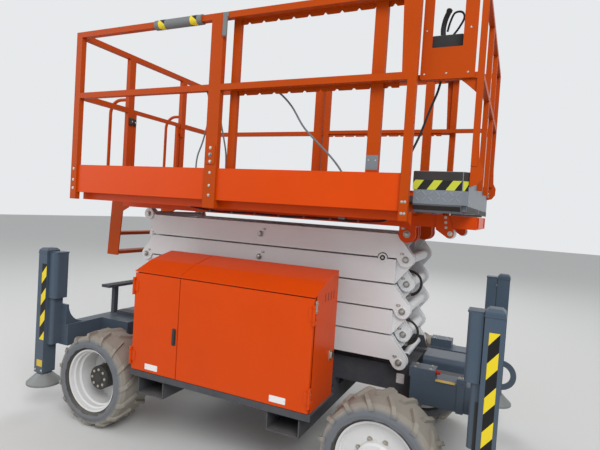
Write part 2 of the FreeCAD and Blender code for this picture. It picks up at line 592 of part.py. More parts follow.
def arm(level, layer):
    """One scissor arm: two tubes, forks at the lower pins, tongues at the upper ones, and cross shafts."""
    (low_x, low_z), (high_x, high_z) = arm_ends(level, layer)
    outer = layer == "outer"
    y0, y1 = (OUTER_Y0, OUTER_Y1) if outer else (INNER_Y0, INNER_Y1)
    inward = 1 if low_x < high_x else -1
    tube_low_x, tube_high_x = low_x + inward * LUG_SETBACK, high_x - inward * LUG_SETBACK
    gap = (PITCH - ARM_H) / 2
    z0, z1 = low_z + gap, high_z - gap
    mid_x, mid_z = (low_x + high_x) / 2, (low_z + high_z) / 2
    tube = box(tube_low_x, tube_high_x, y0, y1, z0, z1)
    cavity = box(tube_low_x + inward * 2 * ARM_WALL, tube_high_x - inward * 2 * ARM_WALL,
                 y0 + ARM_WALL, y1 - ARM_WALL, z0 + ARM_WALL, z1 - ARM_WALL)
    drain = rod((mid_x + 600, (y0 + y1) / 2, z0 - 1), (mid_x + 600, (y0 + y1) / 2, z0 + ARM_WALL + 1), 8)
    pieces = [tube.cut(cavity).cut(drain)]
    slides_low = level == 1 and not outer
    slides_high = level == LEVELS and outer
    carries_platform = level == LEVELS and not outer
    high_kind = "rollers" if slides_high else "low tongue" if carries_platform else "tongue"
    pieces += end_lugs((low_x, low_z), tube_low_x, z0, z1, y0, y1, "rollers" if slides_low else "fork")
    pieces += end_lugs((high_x, high_z), tube_high_x, z0, z1, y0, y1, high_kind)
    if not outer:
        pieces.append(cross_rod(mid_x, mid_z, y0, y1, PIN_R + 12))
    if outer and level == LEVELS - 1:
        pieces.append(cross_rod(BUSH_X, high_z, y0, y1 + 4, BUSH_R))
    side = fuse(pieces)
    if outer and level == LEVELS:
        side = side.cut(cross_rod(BUSH_X, low_z, y0 - 1, y1 + 1, BUSH_R + MOVE_GAP))
    if not slides_high:
        side = side.cut(cross_rod(high_x, high_z, -400, 400, PIN_R + RUN_GAP))
    if outer:
        side = side.fuse(cross_rod(mid_x, mid_z, INNER_Y0 - 8, OUTER_Y1 + 6, PIN_R))
    else:
        side = side.cut(cross_rod(mid_x, mid_z, -400, 400, PIN_R + RUN_GAP))
    shaft_end = y1 + 6 if outer else y1 + 4
    shafts = [cross_rod(low_x, low_z, -shaft_end, shaft_end, PIN_R)]
    if not (level == 1 and outer):
        shafts.append(cross_rod(low_x, low_z, 15 - INNER_Y0, INNER_Y0 - 15, CROSS_R))
    if slides_high:
        shafts.append(cross_rod(high_x, high_z, -y0 - 4, y0 + 4, PIN_R))
    if not outer and level in (1, 2):
        tube_x, tube_z = BASE_TUBE if level == 1 else ROD_TUBE
        shafts.append(cross_rod(tube_x, tube_z, -y0 - ARM_WALL / 2, y0 + ARM_WALL / 2, TUBE_R))
        shafts += cylinder_ears((tube_x, tube_z), BASE_EYE if level == 1 else ROD_EYE, level == 1)
    return fuse([side, mirror_y(side)] + shafts)


def cylinder_ears(tube, eye, with_pin):
    """Two ears on a cross tube that take one eye of the lift cylinder."""
    pieces = []
    (tube_x, tube_z), (ex, ez) = tube, eye
    y0 = EYE_W / 2 + MOVE_GAP
    aim = math.atan2(ez - tube_z, ex - tube_x)
    nx, nz = -math.sin(aim), math.cos(aim)
    for side in SIDES.values():
        outline = [(tube_x + nx * 42, tube_z + nz * 42), (tube_x - nx * 42, tube_z - nz * 42),
                   (ex - nx * 36, ez - nz * 36), (ex + nx * 36, ez + nz * 36)]
        ear = plate_xz(outline, side * y0, side * (y0 + EAR_T))
        pieces.append(ear.fuse(cross_rod(ex, ez, side * y0, side * (y0 + EAR_T), 36)))
    if with_pin:
        pieces.append(cross_rod(ex, ez, -y0 - EAR_T, y0 + EAR_T, PIN_R))
    return pieces


# Lift cylinder
def cylinder_line():
    """Length, direction and the two eyes of the cylinder, as it lies stowed."""
    a, b = V(BASE_EYE[0], 0, BASE_EYE[1]), V(ROD_EYE[0], 0, ROD_EYE[1])
    return a, b, (b - a).normalize()


def lift_barrel():
    """Barrel with its base eye on a flat neck."""
    a, b, along = cylinder_line()
    eye = cross_rod(a.x, a.z, -EYE_W / 2, EYE_W / 2, EYE_R)
    side_step = V(-along.z, 0, along.x) * (EYE_R - 4)
    corners = [a + side_step, a - side_step, a + along * (NECK + 5) - side_step, a + along * (NECK + 5) + side_step]
    neck = plate_xz([(c.x, c.z) for c in corners], -EYE_W / 2, EYE_W / 2)
    body = Part.makeCylinder(BARREL_OUT_R, BARREL_LEN - NECK, a + along * NECK, along)
    gland = Part.makeCylinder(BARREL_OUT_R + 5, 45, a + along * (BARREL_LEN - 45), along)
    bore = Part.makeCylinder(ROD_R + RUN_GAP, BARREL_LEN, a + along * (NECK + 60), along)
    shape = fuse([eye, neck, body, gland]).cut(bore)
    return shape.cut(cross_rod(a.x, a.z, -300, 300, PIN_R + RUN_GAP))


def lift_rod():
    """Rod with its eye, which stays between the ears."""
    a, b, along = cylinder_line()
    start = a + along * (NECK + 66)
    body = Part.makeCylinder(ROD_R, (b - start).Length - 20, start, along)
    eye = cross_rod(b.x, b.z, -EYE_W / 2, EYE_W / 2, EYE_R)
    return fuse([body, eye])


# Platform
def hollow_beam(x0, x1, y0, y1, z0, z1, wall):
    """Beam along X with open ends."""
    y0, y1 = min(y0, y1), max(y0, y1)
    return box(x0, x1, y0, y1, z0, z1).cut(box(x0 - 1, x1 + 1, y0 + wall, y1 - wall, z0 + wall, z1 - wall))


def platform_frame():
    """Floor and the frame under it: roller tracks, side beams, cross members and the fixed pivot's lugs."""
    pieces = []
    pin_z = PIN_Z0 + LEVELS * PITCH
    floor_x0 = PLAT_X0 + RAIL_D + SEAT_GAP
    floor_y = PLAT_Y - RAIL_D - SEAT_GAP
    for side in SIDES.values():
        pieces.append(hollow_beam(floor_x0, PLAT_X1, side * TRACK_Y0, side * TRACK_Y1, FRAME_Z0, FRAME_Z1, 8))
        pieces.append(hollow_beam(floor_x0, PLAT_X1, side * SIDE_BEAM_Y0, side * SIDE_BEAM_Y1, FRAME_Z0 + 40, FRAME_Z1, 8))
        for y0, y1 in ((INNER_Y0, INNER_Y0 + FORK_T), (INNER_Y1 - FORK_T, INNER_Y1), (OUTER_Y1 + 6, OUTER_Y1 + 22)):
            pieces.append(box(PIN_X_FRONT - 50, PIN_X_FRONT + 50, side * y0, side * y1, pin_z, FRAME_Z0 + 5))
            pieces.append(cross_rod(PIN_X_FRONT, pin_z, side * y0, side * y1, 53))
        pieces.append(cross_rod(PIN_X_FRONT, pin_z, side * INNER_Y0, side * (OUTER_Y1 + 28), PIN_R))
        pieces += front_guide(side)
    span = PLAT_X1 - 40 - (floor_x0 + 40)
    for x in [floor_x0 + 40 + span * i / 4 for i in range(5)]:
        pieces.append(box(x - 40, x + 40, -SIDE_BEAM_Y1, SIDE_BEAM_Y1, FRAME_Z1 - 60, FRAME_Z1).cut(
            box(x - 32, x + 32, -TRACK_Y0, TRACK_Y0, FRAME_Z1 - 61, FRAME_Z1 - 8)))
    floor = box(floor_x0, PLAT_X1, -floor_y, floor_y, FRAME_Z1, FLOOR_Z)
    return fuse(pieces + [floor])


def front_guide(side):
    """Main beam drawn out forward under the roll-out deck, with the bracket that holds a roller."""
    y0, y1 = TRACK_Y0, TRACK_Y1
    rail = hollow_beam(PLAT_X1 - 60, GUIDE_X1, side * y0, side * y1, GUIDE_Z0, GUIDE_Z1, 6)
    end = box(GUIDE_X1 - 50, GUIDE_X1, -1, side * y0, GUIDE_Z0, GUIDE_Z1)
    rx, rz = DECK_ROLLER
    outline = [(rx - 88, GUIDE_Z1), (rx - 13, GUIDE_Z1), (rx + 20, rz + 8), (rx + 20, rz - 12), (rx + 6, rz - 24),
               (rx - 16, rz - 25), (rx - 84, GUIDE_Z0 - 12)]
    bracket = plate_xz(outline, side * (y1 - 1), side * (y1 + 7))
    inner = plate_xz(outline, side * (y1 - 50), side * (y1 - 43)).common(
        box(rx - 90, rx + 30, side * (y1 - 51), side * (y1 - 40), rz - 40, GUIDE_Z0 + 2))
    pin = cross_rod(rx, rz, side * (y1 - 50), side * (y1 + 12), 9)
    return [rail, end, bracket, inner, pin]


def guide_rollers():
    """The two rollers of the front guides, free on their pins."""
    rx, rz = DECK_ROLLER
    y0 = TRACK_Y1 - 38
    wheel = cross_rod(rx, rz, y0, y0 + ROLLER_W, DECK_ROLLER_R)
    return both_sides(wheel.cut(cross_rod(rx, rz, y0 - 1, y0 + ROLLER_W + 1, 9 + RUN_GAP)))


def toe_boards():
    """Toe boards between the posts on both sides, with a flange at the floor."""
    face = PLAT_Y - TOE_SETBACK
    back = PLAT_Y - RAIL_D
    edges = [(post_x - post_w / 2 - SEAT_GAP, post_x + post_w / 2 + SEAT_GAP) for post_x, post_w in SIDE_POSTS]
    boards = []
    for (_, x0), (x1, _) in zip(edges, edges[1:]):
        web = box(x0, x1, face - TOE_T, face, TOE_Z0, TOE_Z1)
        flanges = [box(x0, x1, back, face, z, z + TOE_T) for z in (TOE_Z0, FLOOR_Z - TOE_T, TOE_Z1 - TOE_T)]
        boards.append(fuse([web] + flanges))
    return Part.makeCompound(boards + [mirror_y(board) for board in boards])


def side_rails():
    """Left guard rail of the main platform: three posts, a mid rail and a top rail."""
    y = PLAT_Y - RAIL_D / 2
    pieces = []
    for x, w in SIDE_POSTS:
        pieces.append(box(x - w / 2, x + w / 2, y - RAIL_D / 2, y + RAIL_D / 2, POST_BOT_Z, TOP_RAIL_Z))
    front_x = SIDE_POSTS[-1][0]
    front_edge = front_x + SIDE_POSTS[-1][1] / 2
    for z in (MID_RAIL_Z, TOP_RAIL_Z):
        pieces.append(square_tube((PLAT_X0, y, z), (front_edge, y, z), RAIL_D))
    flare = [(front_x - 70, TOP_RAIL_Z + RAIL_D / 2), (front_x, TOP_RAIL_Z + RAIL_D / 2), (front_x, MID_RAIL_Z),
             (front_x - 53, MID_RAIL_Z)]
    pieces.append(plate_xz(flare, y + RAIL_D / 2 - 8, y + RAIL_D / 2))
    foot = [(front_x - 23, POST_BOT_Z + 2), (front_edge, POST_BOT_Z + 2), (front_x + 40, POST_BOT_Z - 20), (front_x + 40, GUIDE_Z1),
            (front_x - 23, GUIDE_Z1)]
    pieces.append(plate_xz(foot, y - RAIL_D / 2, y - RAIL_D / 2 + 8))
    return fuse(pieces)


def rear_rails():
    """Rear end rail: the parts on each side of the gate, the top rail over it and the grab hoops."""
    x = PLAT_X0 + RAIL_D / 2
    end_y = PLAT_Y - RAIL_D - SEAT_GAP
    pieces = [square_tube((x, -end_y, TOP_RAIL_Z), (x, end_y, TOP_RAIL_Z), RAIL_D)]
    for y in (GATE_Y0, GATE_Y1):
        pieces.append(box(x - RAIL_D / 2, x + RAIL_D / 2, y - 30, y + 30, TOE_Z0, TOP_RAIL_Z))
    for y0, y1 in ((-end_y, GATE_Y0), (GATE_Y1, end_y)):
        pieces.append(square_tube((x, y0, MID_RAIL_Z), (x, y1, MID_RAIL_Z), RAIL_D))
        pieces.append(box(x - RAIL_D / 2, x - RAIL_D / 2 + TOE_T, y0, y1, TOE_Z0, TOE_Z1))
    for y in (GATE_Y0, GATE_Y1):
        pieces.append(grab_hoop(y))
    return fuse(pieces + gate_hinge_pins())


def grab_hoop(y):
    """Bent handle behind a gate post: out at the floor, up, and round to the post."""
    side = 1 if y > 0 else -1
    y = y + side * 12
    bend = 110
    x_post, z0, z1 = PLAT_X0 + 10, FLOOR_Z - 30, MID_RAIL_Z + 90
    arc_mid = V(HANDLE_X + bend - bend * math.cos(math.pi / 4), y, z1 - bend + bend * math.sin(math.pi / 4))
    edges = [Part.LineSegment(V(x_post, y, z0), V(HANDLE_X, y, z0)).toShape(),
             Part.LineSegment(V(HANDLE_X, y, z0), V(HANDLE_X, y, z1 - bend)).toShape(),
             Part.Arc(V(HANDLE_X, y, z1 - bend), arc_mid, V(HANDLE_X + bend, y, z1)).toShape(),
             Part.LineSegment(V(HANDLE_X + bend, y, z1), V(x_post, y, z1)).toShape()]
    circle = Part.Wire(Part.Circle(V(x_post, y, z0), V(1, 0, 0), HANDLE_R).toShape())
    return Part.Wire(edges).makePipeShell([circle], True, False, 1)


def gate_hinge_heights():
    """Middle of each of the gate's two hinges."""
    return (FLOOR_Z + 100, MID_RAIL_Z - 60)


def gate_hinge_pins():
    """The gate post's halves of the two hinges."""
    hinge_x, hinge_y = PLAT_X0 + RAIL_D + GATE_PIN_R, GATE_Y1 - 36
    pieces = []
    for z in gate_hinge_heights():
        for z0 in (z - 50, z + 30):
            pieces.append(rod((hinge_x, hinge_y, z0), (hinge_x, hinge_y, z0 + 20), GATE_PIN_R))
            pieces.append(box(hinge_x - GATE_PIN_R - 5, hinge_x, hinge_y, GATE_Y1, z0, z0 + 20))
        pieces.append(rod((hinge_x, hinge_y, z - 40), (hinge_x, hinge_y, z + 40), HINGE_PIN_R))
    return pieces


def gate():
    """Half-height gate, hinged on the left gate post."""
    x = PLAT_X0 + RAIL_D / 2
    y0, y1 = GATE_Y0 + 30 + MOVE_GAP, GATE_Y1 - 30 - MOVE_GAP - 6
    z0, z1 = FLOOR_Z + 40, MID_RAIL_Z
    tube = 30
    pieces = [square_tube((x, y0, z1), (x, y1, z1), tube), square_tube((x, y0, z0 + 110), (x, y1, z0 + 110), tube)]
    for y in (y0 + tube / 2, y1 - tube / 2):
        pieces.append(square_tube((x, y, z0), (x, y, z1 + tube / 2), tube))
    pieces.append(box(x - 3, x + 3, y0, y1, z0, z0 + 110))
    hinge_x, hinge_y = x + RAIL_D / 2 + GATE_PIN_R, GATE_Y1 - 36
    shape = fuse(pieces)
    for z in gate_hinge_heights():
        barrel = rod((hinge_x, hinge_y, z - 29), (hinge_x, hinge_y, z + 29), GATE_PIN_R)
        shape = shape.fuse(barrel.fuse(box(x + 10, hinge_x, y1 - 14, hinge_y, z - 25, z + 25)))
        shape = shape.cut(rod((hinge_x, hinge_y, z - 31), (hinge_x, hinge_y, z + 31), HINGE_PIN_R + RUN_GAP))
    return shape


def ladder():
    """Steps that hang under the platform's rear end."""
    x0, x1, z0 = LADDER_X0, LADDER_X1, LADDER_Z0
    z1 = FRAME_Z1 - 52
    pieces = []
    for side in SIDES.values():
        inner_x = PLAT_X0 + RAIL_D
        outline = [(x0 - 30, z0), (x1 - 30, z0), (x1, z1 - 120), (inner_x, z1 - 85), (inner_x, z1), (x0, z1)]
        pieces.append(plate_xz(outline, side * 300, side * 308))
    for z in TREADS_Z:
        pieces.append(box(x0 - 12, x1 - 24, -302, 302, z, z + 26))
    return fuse(pieces)


def rail_sleeve():
    """Round sleeve over the right top rail."""
    y, z = -(PLAT_Y - RAIL_D / 2), TOP_RAIL_Z
    half = RAIL_D / 2 + SEAT_GAP
    bore = box(TUBE_X0 - 1, TUBE_X1 + 1, y - half, y + half, z - half, z + half)
    return rod((TUBE_X0, y, z), (TUBE_X1, y, z), TUBE_HOLDER_R).cut(bore)


# Roll-out deck
def extension_deck():
    """Floor of the roll-out deck with its skids, nose and toe boards."""
    half = DECK_RAIL_Y - 27 - SEAT_GAP
    nose_x0 = PLAT_X1 + 60
    pieces = [box(DECK_X0, NOSE_X - 2, -half, half, DECK_Z1 - 10, DECK_Z1)]
    for side in SIDES.values():
        pieces.append(box(DECK_X0, nose_x0 + 20, side * (half - 8), side * half, DECK_Z0, DECK_Z1))
        pieces.append(box(DECK_X0, NOSE_X - 2, side * 500, side * 540, FLOOR_Z + SEAT_GAP, DECK_Z1 - 5))
        pieces.append(deck_side_board(side, nose_x0))
        pieces.append(nose_corner(side))
    pieces.append(hollow_beam(nose_x0, NOSE_X - 2, -half, half, NOSE_Z0 + 14, DECK_Z1 - 5, 8))
    y = PLAT_Y - 44 - NOSE_CHAMFER
    pieces.append(box(NOSE_X - 6, NOSE_X, -y, y, NOSE_Z0 + 14, NOSE_Z1))
    return fuse(pieces)


def deck_side_board(side, x0):
    """Folded board along one side of the nose: capped above, turned in on a slant below."""
    x1, outer = NOSE_X - NOSE_CHAMFER, PLAT_Y - 44
    inner = DECK_RAIL_Y - 27 - SEAT_GAP
    outline = [(outer, NOSE_Z1), (outer, NOSE_Z0 + 43), (inner, NOSE_Z0), (inner - 12, NOSE_Z0), (inner - 12, NOSE_Z0 + 26),
               (inner - 6, NOSE_Z0 + 26), (inner - 6, NOSE_Z0 + 6), (inner - 2, NOSE_Z0 + 6), (outer - 6, NOSE_Z0 + 47),
               (outer - 6, NOSE_Z1 - 6), (outer - 13, NOSE_Z1 - 6), (outer - 13, NOSE_Z1)]
    return plate_yz([(side * y, z) for y, z in outline], x0, x1)


def nose_corner(side):
    """Slanted corner sheet between a side board and the front face."""
    y1 = PLAT_Y - 44
    c = NOSE_CHAMFER
    plan = [(NOSE_X - c, y1), (NOSE_X, y1 - c), (NOSE_X - 6, y1 - c - 3), (NOSE_X - c - 3, y1 - 6)]
    points = [V(x, side * y, NOSE_Z0 + 43) for x, y in plan]
    return Part.Face(Part.makePolygon(points + points[:1])).extrude(V(0, 0, NOSE_Z1 - NOSE_Z0 - 43))


def notched_strip(x0, x1, z_top, y0, y1):
    """Strip under a rail with a row of notches in its lower edge."""
    z_low = z_top - 26
    outline = [(x1, z_top), (x0, z_top), (x0, z_low)]
    x = x0 + NOTCH_STEP / 2
    while x < x1 - NOTCH_STEP / 2:
        outline += [(x - NOTCH_W / 2, z_low), (x, z_low + NOTCH_H), (x + NOTCH_W / 2, z_low)]
        x += NOTCH_STEP
    return plate_xz(outline + [(x1, z_low)], y0, y1)


def corner_post(side):
    """Post at a front corner of the deck, with the hooked foot that is bolted to the front face."""
    x = NOSE_X + SEAT_GAP
    top, low = TOP_RAIL_Z, NOSE_Z1
    outline = [(x, top), (x + 32, top), (x + 32, low + 170), (x + 38, low + 60), (x + 58, low + 20), (x + 56, low - 30),
               (x + 34, low - 62), (x, low - 70)]
    y = DECK_RAIL_Y
    web = plate_xz(outline, side * (y - 8), side * y)
    flange = box(x, x + 8, side * (y - 46), side * y, low - 70, top)
    toe = box(x, x + 8, side * (y - 110), side * (y - 40), low - 62, low - 12)
    return fuse([web, flange, toe])


def extension_rails():
    """Guard rails of the roll-out deck, nested inside the platform's own."""
    pieces = []
    x_front = NOSE_X + SEAT_GAP + 15
    for side in SIDES.values():
        y = side * (DECK_RAIL_Y - 12)
        for z in (MID_RAIL_Z, TOP_RAIL_Z):
            pieces.append(square_tube((DECK_X0 + 10, y, z), (x_front, y, z), 30))
            pieces.append(notched_strip(DECK_X0 + 50, PLAT_X1 - 60, z - 14, y - 3, y + 3))
        for x, w in ((DECK_X0 + 25, 50), (PLAT_X1 - 177, 70), (x_front, 30)):
            foot = DECK_Z0 if x < PLAT_X1 else NOSE_Z1 + 30
            pieces.append(box(x - w / 2, x + w / 2, y - 15, y + 15, foot, TOP_RAIL_Z))
        pieces.append(corner_post(side))
        web = [(x_front - 100, MID_RAIL_Z - 10), (x_front, MID_RAIL_Z - 10), (x_front, MID_RAIL_Z - 100),
               (x_front - 20, MID_RAIL_Z - 78), (x_front - 60, MID_RAIL_Z - 42)]
        pieces.append(plate_xz(web, y - 4, y + 4))
    for z in (MID_RAIL_Z, TOP_RAIL_Z):
        pieces.append(square_tube((x_front, -DECK_RAIL_Y + 5, z), (x_front, DECK_RAIL_Y - 5, z), 30))
    for y in (-260, 260):
        pieces.append(box(x_front - 15, x_front + 15, y - 20, y + 20, NOSE_Z1 - 60, TOP_RAIL_Z))
    return fuse(pieces)


def control_guard():
    """Sheet guard round the control station, with its window and its folded rear edge."""
    y = -(DECK_RAIL_Y + 3 + SEAT_GAP)
    panel = box(GUARD_X0, GUARD_X1, y - 4, y, GUARD_Z0, GUARD_Z1)
    window = box(WINDOW_X0, WINDOW_X1, y - 10, y + 10, WINDOW_Z0, TOP_RAIL_Z - RAIL_D)
    fold = box(GUARD_X0, GUARD_X0 + 4, y - 22, y - 3, GUARD_Z0, GUARD_Z1)
    return fuse([panel.cut(window), fold])


def control_box():
    """Control station on the roll-out deck's right rail: a flat box on a hanging plate."""
    back = -(DECK_RAIL_Y - 27 - SEAT_GAP)
    z0 = WINDOW_Z0 + 3
    plate = box(WINDOW_X0 + 13, WINDOW_X1 - 7, back, back + 5, MID_RAIL_Z - 15, z0 + 20)
    body = box(WINDOW_X0 - 8, WINDOW_X1 - 5, back + 4, back + 154, z0, z0 + 74)
    body = body.makeFillet(10, [e for e in body.Edges if e.CenterOfMass.z > z0 + 73])
    return fuse([body, plate])


def build():
    """Writes every sub-part."""
    os.makedirs("parts", exist_ok=True)
    save("chassis_frame", chassis_frame())
    save("front_beam", front_beam())
    save("rear_beam", rear_beam())
    save("rear_step", rear_step())
    plain, ringed = at_corners(outrigger_post(False)), at_corners(outrigger_post(True))
    posts = [(ringed if corner.startswith("front") else plain)[corner] for corner in plain]
    save("outrigger_posts", Part.makeCompound(posts))
    for corner, leg in at_corners(outrigger_leg()).items():
        save("outrigger_leg_" + corner, leg)
    save("front_axle", front_axle())
    save("rear_axle", rear_axle())
    save("knuckle_left", knuckle())
    save("knuckle_right", mirror_y(knuckle()))
    wheel_tyre = tyre()
    rims = {"front": rim(70, 105, 62, 126), "rear": rim(-90, 74, -91, 58)}
    for end, x in (("front", WHEELBASE / 2), ("rear", -WHEELBASE / 2)):
        for side_name, side in SIDES.items():
            place = V(x, side * WHEEL_Y, TYRE_R)
            for kind, shape in (("tyre", wheel_tyre), ("rim", rims[end])):
                piece = shape if side > 0 else mirror_y(shape)
                save(kind + "_" + end + "_" + side_name, piece.translated(place))
    save("side_trays", both_sides(side_tray()))
    middle = (CAB_X0 + CAB_X1) / 2
    save("fork_pockets", Part.makeCompound([fork_pocket(middle - POCKET_X), fork_pocket(middle + POCKET_X)]))
    save("cabinet_left", cabinet_shell())
    save("cabinet_right", mirror_y(cabinet_shell()))
    main_door = door(DOOR_SEAM_X + MOVE_GAP / 2, CAB_X1, CAB_X1)
    small_door = door(CAB_X0, DOOR_SEAM_X - MOVE_GAP / 2, CAB_X0)
    save("main_door_left", main_door)
    save("main_door_right", mirror_y(main_door))
    save("small_door_left", small_door)
    save("small_door_right", mirror_y(small_door))
    save("engine_block", engine_block())
    save("tank_block", tank_block())
    for level in range(1, LEVELS + 1):
        for layer in ("outer", "inner"):
            save("arm_%d_%s" % (level, layer), arm(level, layer))
    save("lift_barrel", lift_barrel())
    save("lift_rod", lift_rod())
    save("platform_frame", platform_frame())
    save("guide_rollers", guide_rollers())
    save("toe_boards", toe_boards())
    save("platform_rails_left", side_rails())
    save("platform_rails_right", mirror_y(side_rails()))
    save("platform_rails_rear", rear_rails())
    save("gate", gate())
    save("ladder", ladder())
    save("rail_sleeve", rail_sleeve())
    save("extension_deck", extension_deck())
    save("extension_rails", extension_rails())
    save("control_guard", control_guard())
    save("control_box", control_box())


build()
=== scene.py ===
import itertools
import json
import logging
import math
from dataclasses import dataclass
from enum import Enum
from typing import Any

import bmesh
import bpy
from mathutils import Matrix, Vector
from mathutils.bvhtree import BVHTree

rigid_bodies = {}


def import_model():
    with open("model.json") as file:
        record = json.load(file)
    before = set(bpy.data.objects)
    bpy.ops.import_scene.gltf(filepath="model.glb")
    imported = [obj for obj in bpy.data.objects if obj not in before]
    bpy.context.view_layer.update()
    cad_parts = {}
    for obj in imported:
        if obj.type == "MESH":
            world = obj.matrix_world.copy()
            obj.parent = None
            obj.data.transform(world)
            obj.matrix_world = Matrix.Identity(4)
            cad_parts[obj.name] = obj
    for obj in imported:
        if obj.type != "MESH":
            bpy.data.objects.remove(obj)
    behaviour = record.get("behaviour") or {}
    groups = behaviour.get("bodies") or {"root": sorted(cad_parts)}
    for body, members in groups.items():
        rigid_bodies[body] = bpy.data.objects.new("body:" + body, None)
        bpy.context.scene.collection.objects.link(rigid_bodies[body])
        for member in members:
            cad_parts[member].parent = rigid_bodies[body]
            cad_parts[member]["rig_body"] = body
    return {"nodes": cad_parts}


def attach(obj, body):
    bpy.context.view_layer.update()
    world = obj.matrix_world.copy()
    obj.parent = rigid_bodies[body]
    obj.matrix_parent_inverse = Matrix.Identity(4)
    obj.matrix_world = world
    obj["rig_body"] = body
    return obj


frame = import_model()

logging.basicConfig(level=logging.INFO, format="%(message)s")
LOG = logging.getLogger("scissor_lift")
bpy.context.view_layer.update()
Vec = tuple[float, float, float]
Outline = list[tuple[float, float]]
Socket = bpy.types.NodeSocket
UP = Vector((0.0, 0.0, 1.0))
FORWARD = Vector((1.0, 0.0, 0.0))
DOWN: Vec = (0.0, 0.0, -1.0)
BACK: Vec = (-1.0, 0.0, 0.0)
IN: Vec = (0.0, -1.0, 0.0)
SINK = 0.0004
TAPE_DEPTH = 0.0007
WHEEL_X, WHEEL_Z = 1.038, 0.335


class Side(Enum):
    """The machine's two sides, as the sign of Y."""

    RIGHT = -1
    LEFT = 1


class End(Enum):
    """The machine's two ends, as the sign of X."""

    REAR = -1
    FRONT = 1


class Head(Enum):
    """Kinds of fastener: sides of the head, its height and its washer's radius, both in head radii."""

    BOLT = (6, 0.75, 1.55)
    RIVET = (14, 0.25, 0.9)


NEAR = (Side.RIGHT,)


@dataclass(frozen=True)
class Finish:
    """One finish: numbers for the shader, and the slot of the small pieces that wear it.

    Stripes hold slope, period in metres, bright share and shift. Rings mark a tyre's rubber.
    """

    name: str
    colour: Vec
    roughness: float = 0.5
    metallic: float = 0.0
    coat: float = 0.0
    specular: float = 0.22
    variation: float = 0.12
    grain: float = 60.0
    bump: float = 0.08
    wear: float = 0.25
    wear_colour: Vec = (0.10, 0.09, 0.085)
    dust: float = 0.25
    dust_colour: Vec = (0.36, 0.31, 0.25)
    dust_top: float = 1.0
    round_edge: float = 0.0015
    slot: str = "plastic"
    stripes: tuple[float, ...] = ()
    rings: bool = False


ORANGE = Finish("cover_orange", (0.63, 0.058, 0.000), 0.34, coat=0.04, specular=0.12, variation=0.07, bump=0.05,
                dust=0.06, slot="cover")
RAIL_ORANGE = Finish("rail_orange", (0.43, 0.054, 0.001), 0.42, coat=0.02, specular=0.10, variation=0.10,
                     bump=0.05, wear=0.5, dust=0.06, slot="rail")
SLATE = Finish("chassis_slate", (0.024, 0.034, 0.052), variation=0.18, wear=0.4, dust=0.40, dust_top=1.2)
OUTRIGGER = Finish("outrigger_slate", (0.054, 0.084, 0.122), 0.42, coat=0.1, wear=0.45)
BLACK_PAINT = Finish("axle_black", (0.020, 0.021, 0.024), variation=0.2, dust=0.6, dust_top=0.9)
WHITE = Finish("arm_white", (0.70, 0.71, 0.72), 0.40, coat=0.1, variation=0.06, wear=0.3, dust=0.10, dust_top=1.8)
RIM_WHITE = Finish("rim_white", (0.70, 0.70, 0.70), 0.42, variation=0.08, wear=0.3, dust=0.22, dust_top=0.8)
HUB_BLACK = Finish("hub_black", (0.020, 0.022, 0.025), 0.45, variation=0.25, wear=0.5, dust_top=0.8, slot="rim")
STEEL = Finish("leg_steel", (0.20, 0.225, 0.24), 0.45, metallic=0.4, variation=0.25, wear=0.2, dust=0.4,
               dust_top=0.9)
CHROME = Finish("rod_chrome", (0.62, 0.63, 0.65), 0.10, metallic=1.0, variation=0.04, bump=0.02, wear=0.0,
                dust=0.03)
CYLINDER = Finish("cylinder_black", (0.018, 0.018, 0.020), 0.35, coat=0.2, dust=0.2)
CAST = Finish("engine_iron", (0.09, 0.09, 0.095), 0.65, metallic=0.3, bump=0.3, grain=180.0, dust_top=1.5)
TANK = Finish("tank_black", (0.03, 0.03, 0.033), 0.55, dust=0.2)
# Black plastic; also used as painted shadow for the dark strip on the beam beside each front post.
PLASTIC_AND_PAINTED_SHADOW = Finish("black_plastic_and_painted_shadow", (0.022, 0.022, 0.024), 0.55, grain=400.0, bump=0.12, wear=0.05, dust=0.15,
                 dust_top=3.0)
GREY_PLASTIC = Finish("grey_plastic", (0.17, 0.18, 0.185), grain=300.0, wear=0.0, dust=0.1, dust_top=3.0)
GALVANISED = Finish("galvanised", (0.21, 0.23, 0.26), 0.42, metallic=0.6, variation=0.22, dust=0.1, dust_top=3.0,
                    slot="rail")
RAISED_SHEET = Finish("raised_sheet", (0.26, 0.28, 0.31), 0.40, metallic=0.6, variation=0.15, wear=0.3, dust=0.05,
                      dust_top=3.0, slot="rail")
RUBBER = Finish("tyre_rubber", (0.115, 0.118, 0.125), 0.85, variation=0.15, grain=120.0, bump=0.3, wear=0.0,
                dust=0.45, dust_colour=(0.33, 0.30, 0.255), dust_top=1.2, rings=True)
ZINC = Finish("zinc_bolts", (0.50, 0.48, 0.42), 0.35, metallic=0.9, variation=0.2, grain=250.0, wear=0.1, dust=0.3,
              dust_top=1.5, round_edge=0.0008, slot="leg")
PIN_STEEL = Finish("pin_steel", (0.30, 0.30, 0.30), 0.4, metallic=0.8, variation=0.2, dust=0.3, dust_top=1.8,
                   round_edge=0.0008, slot="leg")
HOSE = Finish("black_hose", (0.016, 0.016, 0.018), 0.6, grain=500.0, bump=0.15, wear=0.0, dust=0.2, dust_top=1.8)
CABLE_GREY = Finish("grey_cable", (0.15, 0.16, 0.17), 0.55, wear=0.0, dust=0.15, dust_top=2.0)
BLANK_WHITE = Finish("blank_white", (0.78, 0.78, 0.77), 0.4, variation=0.03, bump=0.01, wear=0.1, dust=0.08,
                     dust_top=1.2, slot="rim")
BLANK_YELLOW = Finish("blank_yellow", (0.68, 0.46, 0.03), 0.4, variation=0.05, bump=0.01, wear=0.2, dust=0.35,
                      slot="outrigger")
SIGNAL_RED = Finish("signal_red", (0.42, 0.012, 0.010), 0.4, wear=0.05, dust=0.2)
# Dark caps; also used as painted shadow for the dark strips along the roll-out deck nose's lower edge.
DARK_CAP_AND_PAINTED_SHADOW = Finish("dark_cap_and_painted_shadow", (0.026, 0.023, 0.023), 0.55, variation=0.1, wear=0.2, dust=0.1, dust_top=3.0,
                  slot="rail")
